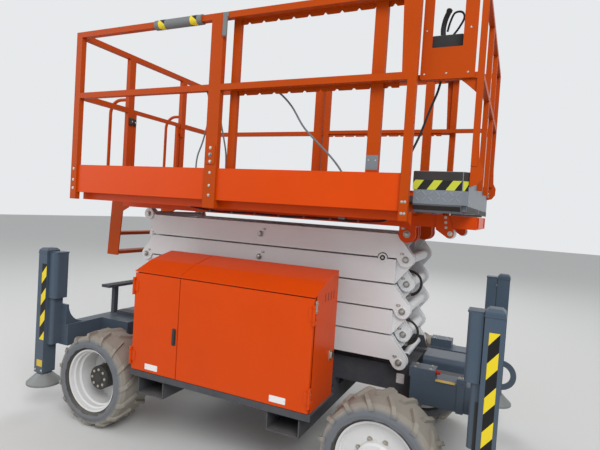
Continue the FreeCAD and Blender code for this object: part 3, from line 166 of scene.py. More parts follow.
POST_TAPE = Finish("post_tape", (0.78, 0.60, 0.02), 0.38, variation=0.05, bump=0.01, wear=0.3, dust=0.08,
                   dust_top=1.2, slot="outrigger", stripes=(1.25, 0.165, 0.48, 0.0))
DECK_TAPE = Finish("deck_tape", (0.50, 0.53, 0.04), 0.42, variation=0.05, bump=0.01, wear=0.3, dust=0.1,
                   dust_top=3.0, slot="rail", stripes=(1.45, 0.135, 0.46, 0.1))
TAPE_BLACK: Vec = (0.006, 0.006, 0.007)
WALL, BEAD, TREAD = (0.115, 0.130, 0.155), (0.020, 0.021, 0.024), (0.270, 0.250, 0.215)

DRESSING: tuple[tuple[Finish, tuple[str, ...]], ...] = (
    (ORANGE, ("cabinet_", "main_door", "small_door", "toe_boards", "platform_frame")),
    (RAIL_ORANGE, ("platform_rails", "gate", "ladder", "extension_rails", "control_guard")),
    (GALVANISED, ("extension_deck",)),
    (SLATE, ("chassis_frame", "rear_step", "side_trays", "fork_pockets")),
    (OUTRIGGER, ("front_beam", "rear_beam", "outrigger_posts")),
    (BLACK_PAINT, ("front_axle", "rear_axle", "knuckle")),
    (STEEL, ("outrigger_leg",)),
    (WHITE, ("arm_",)),
    (RIM_WHITE, ("rim_", "guide_rollers")),
    (RUBBER, ("tyre_",)),
    (CAST, ("engine_block",)),
    (TANK, ("tank_block",)),
    (CYLINDER, ("lift_barrel",)),
    (CHROME, ("lift_rod",)),
    (PLASTIC_AND_PAINTED_SHADOW, ("control_box",)),
    (GREY_PLASTIC, ("rail_sleeve",)))


@dataclass
class Graph:
    """Adds and links the nodes of one node tree."""

    tree: bpy.types.NodeTree

    @classmethod
    def group(cls, name: str, kind: str, inputs: dict[str, float | str], outputs: dict[str, float | str]
              ) -> tuple["Graph", Any]:
        """Begins a node group.

        Args:
            name: The group's name.
            kind: The tree's type.
            inputs: Its inputs, each a default number or a socket type.
            outputs: Its outputs, said in the same way.

        Returns:
            The graph, and its inputs as sockets by name.
        """
        tree = bpy.data.node_groups.new(name, kind)
        for way, sockets in (("INPUT", inputs), ("OUTPUT", outputs)):
            for label, value in sockets.items():
                plain = isinstance(value, float)
                socket_type = "NodeSocketFloat" if plain else value
                made = tree.interface.new_socket(label, in_out=way, socket_type=socket_type)
                if plain:
                    made.default_value = value
        return cls(tree), tree.nodes.new("NodeGroupInput").outputs

    def feed(self, socket: Socket, value: Any) -> None:
        """Links or sets one input.

        Args:
            socket: The input.
            value: A socket to link, or a plain value.
        """
        if isinstance(value, bpy.types.NodeSocket):
            self.tree.links.new(value, socket)
        else:
            socket.default_value = value

    def node(self, kind: str, inputs: dict[str | int, Any] | None = None, **settings: Any) -> Any:
        """Adds a node.

        Args:
            kind: The node's type.
            inputs: Sockets or plain values for its inputs.
            settings: The node's own properties.

        Returns:
            The node's outputs.
        """
        made = self.tree.nodes.new(kind)
        for key, value in settings.items():
            setattr(made, key, value)
        for key, value in (inputs or {}).items():
            self.feed(made.inputs[key], value)
        return made.outputs

    def finish(self, **results: Socket) -> bpy.types.NodeTree:
        """Gives a group its results.

        Args:
            results: Sockets by the names of the outputs.

        Returns:
            The finished group.
        """
        self.node("NodeGroupOutput", results)
        return self.tree

    def math(self, operation: str, *values: Any, clamp: bool = False) -> Socket:
        """Calculates.

        Args:
            operation: What to calculate.
            values: Its numbers or sockets.
            clamp: Whether to keep the result between 0 and 1.

        Returns:
            The result.
        """
        return self.node("ShaderNodeMath", dict(enumerate(values)), operation=operation, use_clamp=clamp)[0]

    def ramp(self, value: Socket, start: tuple[Any, Any] = (0.0, 1.0), goal: tuple[float, float] = (0.0, 1.0)
             ) -> Socket:
        """Maps a value from one range to another.

        Args:
            value: The value.
            start: Its range.
            goal: The new range.

        Returns:
            The mapped value.
        """
        keys = ("Value", "From Min", "From Max", "To Min", "To Max")
        return self.node("ShaderNodeMapRange", dict(zip(keys, (value, *start, *goal))))["Result"]

    def mix(self, factor: Socket, *colours: Socket | Vec) -> Socket:
        """Mixes two colours.

        Args:
            factor: Mask of the second colour.
            colours: The two colours.

        Returns:
            The mixed colour.
        """
        below, above = ((*c, 1.0) if isinstance(c, tuple) else c for c in colours)
        return self.node("ShaderNodeMix", {"Factor": factor, 6: below, 7: above}, data_type="RGBA")[2]

    def noise(self, scale: float | Socket, detail: float, roughness: float = 0.5) -> Socket:
        """Adds noise in object coordinates.

        Args:
            scale: Its scale.
            detail: Its detail.
            roughness: Its roughness.

        Returns:
            The noise.
        """
        inputs = {"Vector": self.node("ShaderNodeTexCoord")["Object"], "Scale": scale, "Detail": detail,
                  "Roughness": roughness}
        return self.node("ShaderNodeTexNoise", inputs)["Fac"]

    def split(self, kind: str, name: str) -> Any:
        """Splits a vector that a node gives.

        Args:
            kind: The node's type.
            name: Its output's name.

        Returns:
            The parts X, Y and Z.
        """
        return self.node("ShaderNodeSeparateXYZ", {"Vector": self.node(kind)[name]})


class ShaderGroups:
    """The shared shader node groups."""

    def __init__(self) -> None:
        """Builds every group once."""
        self.grain, self.edge_wear, self.dust = self._grain(), self._edge_wear(), self._dust()
        self.stripes, self.rings = self._stripes(), self._rings()

    @staticmethod
    def _begin(name: str, inputs: dict[str, float], outputs: dict[str, float | str]) -> tuple[Graph, Any]:
        """Begins a shader group.

        Args:
            name: The group's name.
            inputs: Its inputs' defaults.
            outputs: Its outputs.

        Returns:
            The graph and its inputs.
        """
        return Graph.group(name, "ShaderNodeTree", inputs, outputs)

    def _grain(self) -> bpy.types.NodeTree:
        """Uneven paint: a coarse mask for colour and a fine height for the bump.

        Returns:
            The group, with outputs Mask and Height.
        """
        graph, given = self._begin("uneven_grain", {"Coarse": 3.0, "Fine": 60.0}, {"Mask": 0.0, "Height": 0.0})
        return graph.finish(Mask=graph.noise(given["Coarse"], 6.0, 0.62), Height=graph.noise(given["Fine"], 3.0))

    def _edge_wear(self) -> bpy.types.NodeTree:
        """Mask of worn edges, broken up by noise, and a normal with softened edges.

        Returns:
            The group, with outputs Mask and Normal.
        """
        graph, given = self._begin("edge_wear", {"Amount": 0.3, "Radius": 0.002},
                                   {"Mask": 0.0, "Normal": "NodeSocketVector"})
        bevel = graph.node("ShaderNodeBevel", {"Radius": given["Radius"]}, samples=4)["Normal"]
        plain = graph.node("ShaderNodeNewGeometry")["Normal"]
        dot = graph.node("ShaderNodeVectorMath", {0: bevel, 1: plain}, operation="DOT_PRODUCT")["Value"]
        bend, chips = graph.ramp(dot, (0.997, 0.90)), graph.ramp(graph.noise(34.0, 5.0), (0.50, 0.62))
        mask = graph.math("MULTIPLY", graph.math("MULTIPLY", bend, chips), given["Amount"])
        return graph.finish(Mask=mask, Normal=bevel)

    def _dust(self) -> bpy.types.NodeTree:
        """Mask of dust and splashed mud, heavy near the ground and on faces that look up.

        Returns:
            The group, with output Mask.
        """
        graph, given = self._begin("settled_dust", {"Amount": 0.3, "Top": 1.0}, {"Mask": 0.0})
        low = graph.ramp(graph.split("ShaderNodeTexCoord", "Object")["Z"], (0.0, given["Top"]), (1.0, 0.12))
        up = graph.ramp(graph.split("ShaderNodeNewGeometry", "Normal")["Z"], (0.4, 1.0), (0.0, 0.45))
        patches = graph.math("MULTIPLY", graph.math("ADD", low, up), graph.noise(7.0, 8.0, 0.7))
        return graph.finish(Mask=graph.math("MULTIPLY", patches, given["Amount"], clamp=True))

    def _stripes(self) -> bpy.types.NodeTree:
        """Slanted stripes in UV space.

        Returns:
            The group, with output Mask.
        """
        inputs = {"Slope": 1.0, "Period": 0.1, "Share": 0.5, "Shift": 0.0}
        graph, given = self._begin("slanted_stripes", inputs, {"Mask": 0.0})
        uv = graph.split("ShaderNodeTexCoord", "UV")
        level = graph.math("SUBTRACT", uv["Y"], graph.math("MULTIPLY", uv["X"], given["Slope"]))
        part = graph.math("FRACT", graph.math("ADD", graph.math("DIVIDE", level, given["Period"]), given["Shift"]))
        return graph.finish(Mask=graph.math("LESS_THAN", part, given["Share"]))

    def _rings(self) -> bpy.types.NodeTree:
        """Masks by distance from the wheel's axle, the same for all four wheels.

        Returns:
            The group, with outputs Bead and Tread.
        """
        graph, given = self._begin("wheel_rings", {"Hub X": 1.0, "Hub Z": 0.3}, {"Bead": 0.0, "Tread": 0.0})
        at = graph.split("ShaderNodeTexCoord", "Object")
        along = graph.math("SUBTRACT", graph.math("ABSOLUTE", at["X"]), given["Hub X"])
        squares = [graph.math("POWER", v, 2.0) for v in (along, graph.math("SUBTRACT", at["Z"], given["Hub Z"]))]
        radius = graph.math("SQRT", graph.math("ADD", *squares))
        rough = graph.math("MULTIPLY_ADD", graph.noise(22.0, 6.0), 0.03, radius)
        return graph.finish(Bead=graph.ramp(rough, (0.256, 0.250)), Tread=graph.ramp(rough, (0.292, 0.318)))


class Paintshop:
    """Makes one material for each finish and dresses the CAD's own nodes."""

    def __init__(self) -> None:
        """Starts with the shared groups and no material."""
        self.groups = ShaderGroups()
        self.made: dict[str, bpy.types.Material] = {}

    def _colour(self, graph: Graph, finish: Finish, mask: Socket) -> Socket:
        """Gives a finish's clean colour: stripes, a tyre's rings, or a plain colour with two tones.

        Args:
            graph: The material's graph.
            finish: The finish.
            mask: Mask of the lighter tone.

        Returns:
            The colour.
        """
        if finish.stripes:
            inputs = dict(zip(("Slope", "Period", "Share", "Shift"), finish.stripes))
            stripes = graph.node("ShaderNodeGroup", inputs, node_tree=self.groups.stripes)
            return graph.mix(stripes["Mask"], TAPE_BLACK, finish.colour)
        if finish.rings:
            hub = {"Hub X": WHEEL_X, "Hub Z": WHEEL_Z}
            rings = graph.node("ShaderNodeGroup", hub, node_tree=self.groups.rings)
            return graph.mix(rings["Tread"], graph.mix(rings["Bead"], WALL, BEAD), TREAD)
        tones = (tuple(min(1.0, c * (1 + v)) for c in finish.colour) for v in (-finish.variation, finish.variation))
        return graph.mix(mask, *tones)

    def material(self, finish: Finish) -> bpy.types.Material:
        """Builds a surface with grain, worn edges and dust, or finds it again.

        Args:
            finish: The finish to build.

        Returns:
            The material.
        """
        if finish.name in self.made:
            return self.made[finish.name]
        material = self.made[finish.name] = bpy.data.materials.new(finish.name)
        material.use_nodes = True
        graph = Graph(material.node_tree)
        grain, wear, dust = (graph.node("ShaderNodeGroup", inputs, node_tree=group) for group, inputs in (
            (self.groups.grain, {"Fine": finish.grain}),
            (self.groups.edge_wear, {"Amount": finish.wear, "Radius": finish.round_edge}),
            (self.groups.dust, {"Amount": finish.dust, "Top": finish.dust_top})))
        worn = graph.mix(wear["Mask"], self._colour(graph, finish, grain["Mask"]), finish.wear_colour)
        rough = graph.ramp(grain["Mask"], goal=(finish.roughness * 0.85, min(1.0, finish.roughness * 1.2)))
        dull = graph.ramp(dust["Mask"], goal=(0.0, 0.35))
        bump = graph.node("ShaderNodeBump", {"Strength": finish.bump, "Distance": 0.001, "Height": grain["Height"],
                                             "Normal": wear["Normal"]})
        shader = material.node_tree.nodes["Principled BSDF"]
        for key, value in (("Base Color", graph.mix(dust["Mask"], worn, finish.dust_colour)),
                           ("Roughness", graph.math("ADD", rough, dull, clamp=True)),
                           ("Metallic", finish.metallic), ("Specular IOR Level", finish.specular),
                           ("Coat Weight", finish.coat), ("Coat Roughness", 0.18), ("Normal", bump["Normal"])):
            graph.feed(shader.inputs[key], value)
        return material

    def dress(self, finish: Finish, words: tuple[str, ...]) -> None:
        """Paints every node whose name starts with one of the words.

        Args:
            finish: The finish to use.
            words: Beginnings of node names.
        """
        for name, node in frame["nodes"].items():
            if name.startswith(words):
                node.data.materials.clear()
                node.data.materials.append(self.material(finish))
                LOG.info("dressed %s in %s", name, finish.name)


def placed(name: str, data: bpy.types.ID) -> bpy.types.Object:
    """Makes an object and links it into the scene.

    Args:
        name: The object's name.
        data: Its mesh, lamp or camera.

    Returns:
        The object.
    """
    made = bpy.data.objects.new(name, data)
    bpy.context.scene.collection.objects.link(made)
    return made


@dataclass
class Studio:
    """Camera, lights, floor and background."""

    eye: Vec = (1.6265698, -3.24382036, 1.65051144)
    yaw: float = 24.757
    pitch: float = -1.967
    roll: float = 3.642
    focal_px: float = 467.969
    width_px: float = 600.0
    floor_colour: Vec = (0.62, 0.62, 0.61)
    floor_reach: float = 30.0

    def camera(self) -> None:
        """Sets the camera where the photographer stood."""
        a, e, r = (math.radians(v) for v in (self.yaw, self.pitch, self.roll))
        ahead = Vector((-math.sin(a) * math.cos(e), math.cos(a) * math.cos(e), math.sin(e)))
        right = Vector((math.cos(a), math.sin(a), 0.0))
        up = right.cross(ahead)
        turn = Matrix((right * math.cos(r) + up * math.sin(r), up * math.cos(r) - right * math.sin(r), -ahead))
        data = bpy.data.cameras.new("photo_camera")
        data.sensor_width = 36.0
        data.lens = self.focal_px * data.sensor_width / self.width_px
        data.clip_end = 100.0
        camera = placed("photo_camera", data)
        camera.matrix_world = Matrix.Translation(Vector(self.eye)) @ turn.transposed().to_4x4()
        bpy.context.scene.camera = camera

    def lights(self) -> None:
        """Adds one large key, one fill and one back lamp."""
        for name, place, height, power, size in (("key", (5.5, -6.5, 7.5), 1.2, 620.0, 5.0),
                                                 ("fill", (-7.0, -5.0, 4.0), 1.2, 210.0, 6.0),
                                                 ("back", (-2.0, 7.0, 7.0), 1.4, 260.0, 5.0)):
            data = bpy.data.lights.new(name, "AREA")
            data.energy, data.size = power, size
            lamp = placed(name, data)
            lamp.location = place
            lamp.rotation_mode = "QUATERNION"
            lamp.rotation_quaternion = (UP * height - Vector(place)).to_track_quat("-Z", "Y")

    def world(self) -> None:
        """Lights the scene evenly and shows a pale background to the camera."""
        world = bpy.data.worlds.new("studio")
        world.use_nodes = True
        graph = Graph(world.node_tree)
        path = graph.node("ShaderNodeLightPath")
        seen = graph.math("MAXIMUM", path["Is Camera Ray"], path["Is Glossy Ray"])
        background = world.node_tree.nodes["Background"]
        graph.feed(background.inputs["Strength"], graph.ramp(seen, goal=(0.62, 0.86)))
        background.inputs["Color"].default_value = (0.93, 0.95, 0.97, 1.0)
        bpy.context.scene.world = world

    def floor(self) -> None:
        """Lays the plain pale floor."""
        mesh = bpy.data.meshes.new("studio_floor")
        corners = [(x * self.floor_reach, y * self.floor_reach, 0) for x, y in ((-1, -1), (1, -1), (1, 1), (-1, 1))]
        mesh.from_pydata(corners, [], [(0, 1, 2, 3)])
        material = bpy.data.materials.new("studio_floor")
        material.use_nodes = True
        shader = material.node_tree.nodes["Principled BSDF"]
        shader.inputs["Base Color"].default_value = (*self.floor_colour, 1.0)
        shader.inputs["Roughness"].default_value = 0.9
        mesh.materials.append(material)
        obj = placed("studio_floor", mesh)

    def build(self) -> None:
        """Sets up the whole studio."""
        bpy.context.scene.view_settings.view_transform = "Standard"
        self.camera()
        self.lights()
        self.world()
        self.floor()


@dataclass(frozen=True)
class Spot:
    """A place on the machine's surface, or just above it."""

    at: Vector
    out: Vector
    body: str

    def raised(self, by: float = 0.0, shift: Vec = (0.0, 0.0, 0.0)) -> "Spot":
        """Gives a place above this one.

        Args:
            by: How far outward.
            shift: A further move.

        Returns:
            The new place.
        """
        return Spot(self.at + self.out * by + Vector(shift), self.out, self.body)


class Skin:
    """Finds spots on the machine's own surfaces, so that details sit on them."""

    def __init__(self, *words: str) -> None:
        """Reads the nodes whose names start with one of the words.

        Args:
            words: Beginnings of node names.
        """
        self.trees: list[tuple[BVHTree, str]] = []
        for name, node in frame["nodes"].items():
            if name.startswith(words):
                mesh = node.data
                tree = BVHTree.FromPolygons([v.co for v in mesh.vertices], [p.vertices for p in mesh.polygons])
                self.trees.append((tree, node["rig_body"]))

    def spot(self, start: Vec, way: Vec, reach: float) -> Spot | None:
        """Looks along a line for the first surface.

        Args:
            start: Where the line starts.
            way: Where it points.
            reach: How far to look.

        Returns:
            The spot, or None if nothing is met.
        """
        best: tuple[float, Spot] | None = None
        direction = Vector(way).normalized()
        for tree, body in self.trees:
            at, normal, _, distance = tree.ray_cast(Vector(start), direction, reach)
            if at is not None and (best is None or distance < best[0]):
                out = normal if normal.dot(direction) < 0 else -normal
                best = (distance, Spot(at, out.normalized(), body))
        return best[1] if best else None


def basis(out: Vector, up: Vector = UP) -> tuple[Vector, Vector]:
    """Axes of a surface seen from outside.

    Args:
        out: Where the surface faces.
        up: The wished upward direction.

    Returns:
        Right and up directions.
    """
    right = (FORWARD if abs(out.dot(up)) > 0.95 else up).cross(out).normalized()
    return right, out.cross(right).normalized()


def rounded(width: float, height: float, radius: float = 0.0, steps: int = 3) -> Outline:
    """Outline of a rectangle with round corners, centred on zero.

    Args:
        width: Its width.
        height: Its height.
        radius: The corners' radius, or 0 for square corners.
        steps: Sides of each corner.

    Returns:
        The outline's points.
    """
    points = []
    for sx, sy, start in ((1, 1, 0.0), (-1, 1, 90.0), (-1, -1, 180.0), (1, -1, 270.0)):
        cx, cy = sx * (width / 2 - radius), sy * (height / 2 - radius)
        for i in range(steps + 1 if radius else 1):
            a = math.radians(start + 90.0 * i / steps)
            points.append((cx + radius * math.cos(a), cy + radius * math.sin(a)))
    return points


def smooth_path(points: list[Vec], steps: int) -> list[Vector]:
    """Runs a smooth line through the points.

    Args:
        points: The points to pass through.
        steps: New points for each gap.

    Returns:
        The dense line.
    """
    p = [Vector(q) for q in points]
    p = [p[0] * 2 - p[1]] + p + [p[-1] * 2 - p[-2]]
    line = []
    for a, b, c, d in zip(p, p[1:], p[2:], p[3:]):
        for k in range(steps):
            s = k / steps
            bend = (2 * a - 5 * b + 4 * c - d) * s * s + (3 * b - a - 3 * c + d) * s ** 3
            line.append(0.5 * (2 * b + (c - a) * s + bend))
    return line + [p[-2]]


class Repeats:
    """Geometry Nodes groups that set out heads, lozenges and clips."""

    def __init__(self) -> None:
        """Builds every group once."""
        self.heads, self.treads, self.clips = self._heads(), self._treads(), self._clips()

    @staticmethod
    def _begin(name: str, inputs: dict[str, float | str]) -> tuple[Graph, Any]:
        """Begins a group with a geometry in and out and a material.

        Args:
            name: The group's name.
            inputs: Its own inputs.

        Returns:
            The graph and its inputs.
        """
        shape = {"Geometry": "NodeSocketGeometry"}
        return Graph.group(name, "GeometryNodeTree", {**shape, **inputs, "Material": "NodeSocketMaterial"}, shape)

    @staticmethod
    def _scatter(graph: Graph, paint: Socket, inputs: dict[str, Any]) -> bpy.types.NodeTree:
        """Sets an instance on each point, realizes them and paints them.

        Args:
            graph: The group's graph.
            paint: The material.
            inputs: Points, instance, rotation and scale.

        Returns:
            The group.
        """
        real = {"Geometry": graph.node("GeometryNodeInstanceOnPoints", inputs)["Instances"]}
        shape = {"Geometry": graph.node("GeometryNodeRealizeInstances", real)["Geometry"], "Material": paint}
        return graph.finish(Geometry=graph.node("GeometryNodeSetMaterial", shape)["Geometry"])

    def _heads(self) -> bpy.types.NodeTree:
        """Heads on points: a washer under a prism with a cone on it.

        Returns:
            The group. Its points carry the attributes facing and size.
        """
        graph, given = self._begin("bolt_heads", {"Sides": "NodeSocketInt", "Height": 0.75, "Washer": 1.55})
        head = graph.node("GeometryNodeMeshCylinder", {"Vertices": given["Sides"], "Radius": 1.0,
                                                       "Depth": given["Height"]})
        cone = graph.node("GeometryNodeMeshCone", {"Vertices": given["Sides"], "Radius Bottom": 0.97,
                                                   "Radius Top": 0.72, "Depth": 0.18})
        washer = graph.node("GeometryNodeMeshCylinder", {"Vertices": 16, "Radius": given["Washer"], "Depth": 0.36})
        join = graph.tree.nodes.new("GeometryNodeJoinGeometry")
        for source, height in ((head, graph.math("MULTIPLY", given["Height"], 0.5)), (cone, given["Height"])):
            lift = graph.node("ShaderNodeCombineXYZ", {"Z": height})["Vector"]
            moved = graph.node("GeometryNodeTransform", {"Geometry": source["Mesh"], "Translation": lift})
            graph.feed(join.inputs["Geometry"], moved["Geometry"])
        graph.feed(join.inputs["Geometry"], washer["Mesh"])
        facing, size = (graph.node("GeometryNodeInputNamedAttribute", {"Name": name}, data_type=kind)["Attribute"]
                        for name, kind in (("facing", "FLOAT_VECTOR"), ("size", "FLOAT")))
        aim = graph.node("FunctionNodeAlignRotationToVector", {"Vector": facing}, axis="Z")["Rotation"]
        return self._scatter(graph, given["Material"], {"Points": given["Geometry"],
                             "Instance": join.outputs["Geometry"], "Rotation": aim, "Scale": size})

    def _treads(self) -> bpy.types.NodeTree:
        """Raised lozenges over a grid, turned by turns.

        Returns:
            The group.
        """
        graph, given = self._begin("tread_lozenges", {"Pitch": 0.05})
        stud = graph.node("GeometryNodeMeshCone", {"Vertices": 6, "Radius Bottom": 0.42, "Radius Top": 0.30,
                                                   "Depth": 0.05})
        lozenge = graph.node("GeometryNodeTransform", {"Geometry": stud["Mesh"], "Scale": (1.0, 0.34, 1.0)})
        at = graph.split("GeometryNodeInputPosition", "Position")
        cell = graph.math("ROUND", graph.math("DIVIDE", graph.math("ADD", at["X"], at["Y"]), given["Pitch"]))
        turn = graph.math("MULTIPLY", graph.math("FLOORED_MODULO", cell, 2.0), math.pi / 2)
        euler = graph.node("ShaderNodeCombineXYZ", {"Z": graph.math("ADD", turn, math.pi / 4)})["Vector"]
        return self._scatter(graph, given["Material"], {"Points": given["Geometry"],
                             "Instance": lozenge["Geometry"], "Rotation": euler, "Scale": given["Pitch"]})

    def _clips(self) -> bpy.types.NodeTree:
        """Clips at even steps along a line.

        Returns:
            The group.
        """
        graph, given = self._begin("line_clips", {"Pitch": 0.2, "Radius": 0.008})
        curve = graph.node("GeometryNodeMeshToCurve", {"Mesh": given["Geometry"]})["Curve"]
        steps = graph.node("GeometryNodeResampleCurve", {"Curve": curve, "Length": given["Pitch"]}, mode="LENGTH")
        ring = graph.node("GeometryNodeMeshCylinder", {"Vertices": 14, "Radius": given["Radius"], "Depth": 0.012})
        along = graph.node("GeometryNodeInputTangent")["Tangent"]
        aim = graph.node("FunctionNodeAlignRotationToVector", {"Vector": along}, axis="Z")["Rotation"]
        return self._scatter(graph, given["Material"], {"Points": steps["Curve"], "Instance": ring["Mesh"],
                             "Rotation": aim})


class Workbench:
    """Gathers small shapes by body and finish and turns each heap into one piece."""

    HEAP_CREASE, REPEAT_CREASE = 0.6, 0.5

    def __init__(self, paint: Paintshop) -> None:
        """Starts with nothing on the bench.

        Args:
            paint: Maker of materials.
        """
        self.paint, self.repeats = paint, Repeats()
        self.heaps: dict[tuple[str, Finish], bmesh.types.BMesh] = {}
        self.places: dict[tuple[str, Head], list[tuple[Spot, float]]] = {}

    def _skin(self, body: str, finish: Finish, rings: list[list[Vector]], coords: list[Outline]) -> None:
        """Closes rings of points into a shape on its heap and lays out its UV.

        Args:
            body: The body the shape rides on.
            finish: Its finish.
            rings: Rings of points, all of one length.
            coords: UV of each point.
        """
        if (body, finish) not in self.heaps:
            self.heaps[body, finish] = bmesh.new()
            self.heaps[body, finish].loops.layers.uv.new("UVMap")
        mesh = self.heaps[body, finish]
        made = [[mesh.verts.new(v) for v in ring] for ring in rings]
        n, last = len(made[0]), len(made) - 1
        faces = [[(k, i), (k, (i + 1) % n), (k + 1, (i + 1) % n), (k + 1, i)] for k in range(last) for i in range(n)]
        faces += [[(0, i) for i in reversed(range(n))], [(last, i) for i in range(n)]]
        for corners in faces:
            face = mesh.faces.new([made[k][i] for k, i in corners])
            for loop, (k, i) in zip(face.loops, corners):
                loop[mesh.loops.layers.uv[0]].uv = coords[k][i]

    def lathe(self, place: Spot, finish: Finish, profile: Outline, steps: int = 24) -> None:
        """Turns a profile round the outward axis.

        Args:
            place: Foot of the axis.
            finish: The shape's finish.
            profile: Radius and height of each ring, in metres.
            steps: Sides of the circle.
        """
        right, up = basis(place.out)
        turn = [2 * math.pi * i / steps for i in range(steps)]
        rings = [[place.at + right * (r * math.cos(a)) + up * (r * math.sin(a)) + place.out * h for a in turn]
                 for r, h in profile]
        self._skin(place.body, finish, rings, [[(r * a, h) for a in turn] for r, h in profile])

    def plate(self, place: Spot, finish: Finish, outline: Outline, depth: float, chamfer: float = 0.0,
              up: Vector = UP) -> None:
        """Sets a flat shape on a surface.

        Args:
            place: Centre of the shape.
            finish: The shape's finish.
            outline: Corners, right and up from the centre, in metres.
            depth: Thickness.
            chamfer: Bevel of the outer edge.
            up: The wished upward direction.
        """
        right, above = basis(place.out, up)
        shrink = 1 - chamfer / max(math.hypot(u, v) for u, v in outline)
        levels = [(-SINK, 1.0), (depth - chamfer, 1.0), (depth, shrink)][:3 if chamfer else 2]
        rings = [[place.at + right * (u * k) + above * (v * k) + place.out * h for u, v in outline]
                 for h, k in levels]
        self._skin(place.body, finish, rings, [outline] * len(rings))

    def tube(self, body: str, finish: Finish, line: list[Vector], radius: float, steps: int = 10) -> None:
        """Runs a round tube along a line.

        Args:
            body: The body the tube rides on.
            finish: Its finish.
            line: The dense line.
            radius: The tube's radius.
            steps: Sides of the circle.
        """
        rings, coords, side, run = [], [], None, 0.0
        turn = [2 * math.pi * k / steps for k in range(steps)]
        for i, point in enumerate(line):
            ahead = (line[min(i + 1, len(line) - 1)] - line[max(i - 1, 0)]).normalized()
            side = side or basis(ahead)[0]
            side = (side - ahead * side.dot(ahead)).normalized()
            other = ahead.cross(side)
            run += (point - line[i - 1]).length if i else 0.0
            rings.append([point + side * (radius * math.cos(a)) + other * (radius * math.sin(a)) for a in turn])
            coords.append([(radius * a, run) for a in turn])
        self._skin(body, finish, rings, coords)

    def fasten(self, spot: Spot | None, size: float, head: Head = Head.BOLT) -> None:
        """Marks a place for a fastener.

        Args:
            spot: Where, or None to mark nothing.
            size: The head's radius.
            head: Its kind.
        """
        if spot:
            self.places.setdefault((spot.body, head), []).append((spot, size))

    def _show(self, name: str, mesh: bpy.types.Mesh, finish: Finish, body: str, crease: float) -> None:
        """Shows a finished mesh as a piece that rides on its body.

        Args:
            name: The piece's name.
            mesh: Its mesh.
            finish: Its finish.
            body: The body it rides on.
            crease: Edges bent by more than this stay sharp, in radians.
        """
        mesh.materials.clear()
        mesh.materials.append(self.paint.material(finish))
        mesh.polygons.foreach_set("material_index", [0] * len(mesh.polygons))
        mesh.polygons.foreach_set("use_smooth", [True] * len(mesh.polygons))
        mesh.set_sharp_from_angle(angle=crease)
        piece = placed(name, mesh)
        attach(piece, body)
        LOG.info("made %s with %d faces", name, len(mesh.polygons))

    def bake(self, name: str, mesh: bpy.types.Mesh, tree: bpy.types.NodeTree, values: dict[str, Any],
             finish: Finish, body: str, slot: str) -> None:
        """Runs a Geometry Nodes group on a mesh and keeps the result as a plain piece.

        Args:
            name: The piece's name.
            mesh: The mesh that the group reads.
            tree: The group.
            values: Its inputs by name.
            finish: The piece's finish.
            body: The body it rides on.
            slot: The record's material slot; not used.
        """
        seed = placed(name + "_seed", mesh)
        modifier = seed.modifiers.new("repeat", "NODES")
        modifier.node_group = tree
        values = {**values, "Material": self.paint.material(finish)}
        for item in tree.interface.items_tree:
            if item.in_out == "INPUT" and item.name in values:
                modifier[item.identifier] = values[item.name]
        bpy.context.view_layer.update()
        result = bpy.data.meshes.new_from_object(seed.evaluated_get(bpy.context.evaluated_depsgraph_get()))
        bpy.data.objects.remove(seed)
        self._show(name, result, finish, body, self.REPEAT_CREASE)

    def treads(self, name: str, points: list[Vec], pitch: float, finish: Finish, body: str, slot: str) -> None:
        """Covers a floor with raised lozenges.

        Args:
            name: The piece's name.
            points: The lozenges' places.
            pitch: Their spacing.
            finish: Their finish.
            body: The body they ride on.
            slot: The record's material slot.
        """
        mesh = bpy.data.meshes.new("grid")
        mesh.from_pydata(points, [], [])
        self.bake(name, mesh, self.repeats.treads, {"Pitch": pitch}, finish, body, slot)

    def ship(self) -> None:
        """Turns every heap into one piece, and the fasteners of each body and kind into another."""
        for (body, finish), heap in self.heaps.items():
            bmesh.ops.recalc_face_normals(heap, faces=heap.faces)
            name = f"{body}_{finish.name}"
            mesh = bpy.data.meshes.new(name)
            heap.to_mesh(mesh)
            heap.free()
            self._show(name, mesh, finish, body, self.HEAP_CREASE)
        for (body, head), places in self.places.items():
            mesh = bpy.data.meshes.new("places")
            mesh.from_pydata([spot.at for spot, _ in places], [], [])
            mesh.attributes.new("facing", "FLOAT_VECTOR", "POINT")
            mesh.attributes.new("size", "FLOAT", "POINT")
            for i, (spot, radius) in enumerate(places):
                mesh.attributes["facing"].data[i].vector = spot.out
                mesh.attributes["size"].data[i].value = radius
            values = dict(zip(("Sides", "Height", "Washer"), head.value))
            self.bake(f"{body}_{head.name.lower()}s", mesh, self.repeats.heads, values, ZINC, body, ZINC.slot)


@dataclass(frozen=True)
class Plate:
    """A flat thing: finish, size (see rounded), depth and chamfer, and how it stands off its spot."""

    finish: Finish
    size: tuple[float, ...]
    depth: float
    chamfer: float = 0.0
    raised: float = 0.0
    shift: Vec = (0.0, 0.0, 0.0)


@dataclass(frozen=True)
class Turned:
    """A turned thing: finish, profile as radius and height, and how far it stands off its spot."""

    finish: Finish
    profile: Outline
    raised: float = 0.0


@dataclass(frozen=True)
class Heads:
    """Fasteners of one size round a spot, at even X and Z steps from it."""

    size: float
    raised: float = 0.0
    dx: tuple[float, ...] = (0.0,)
    dz: tuple[float, ...] = (0.0,)
    kind: Head = Head.BOLT


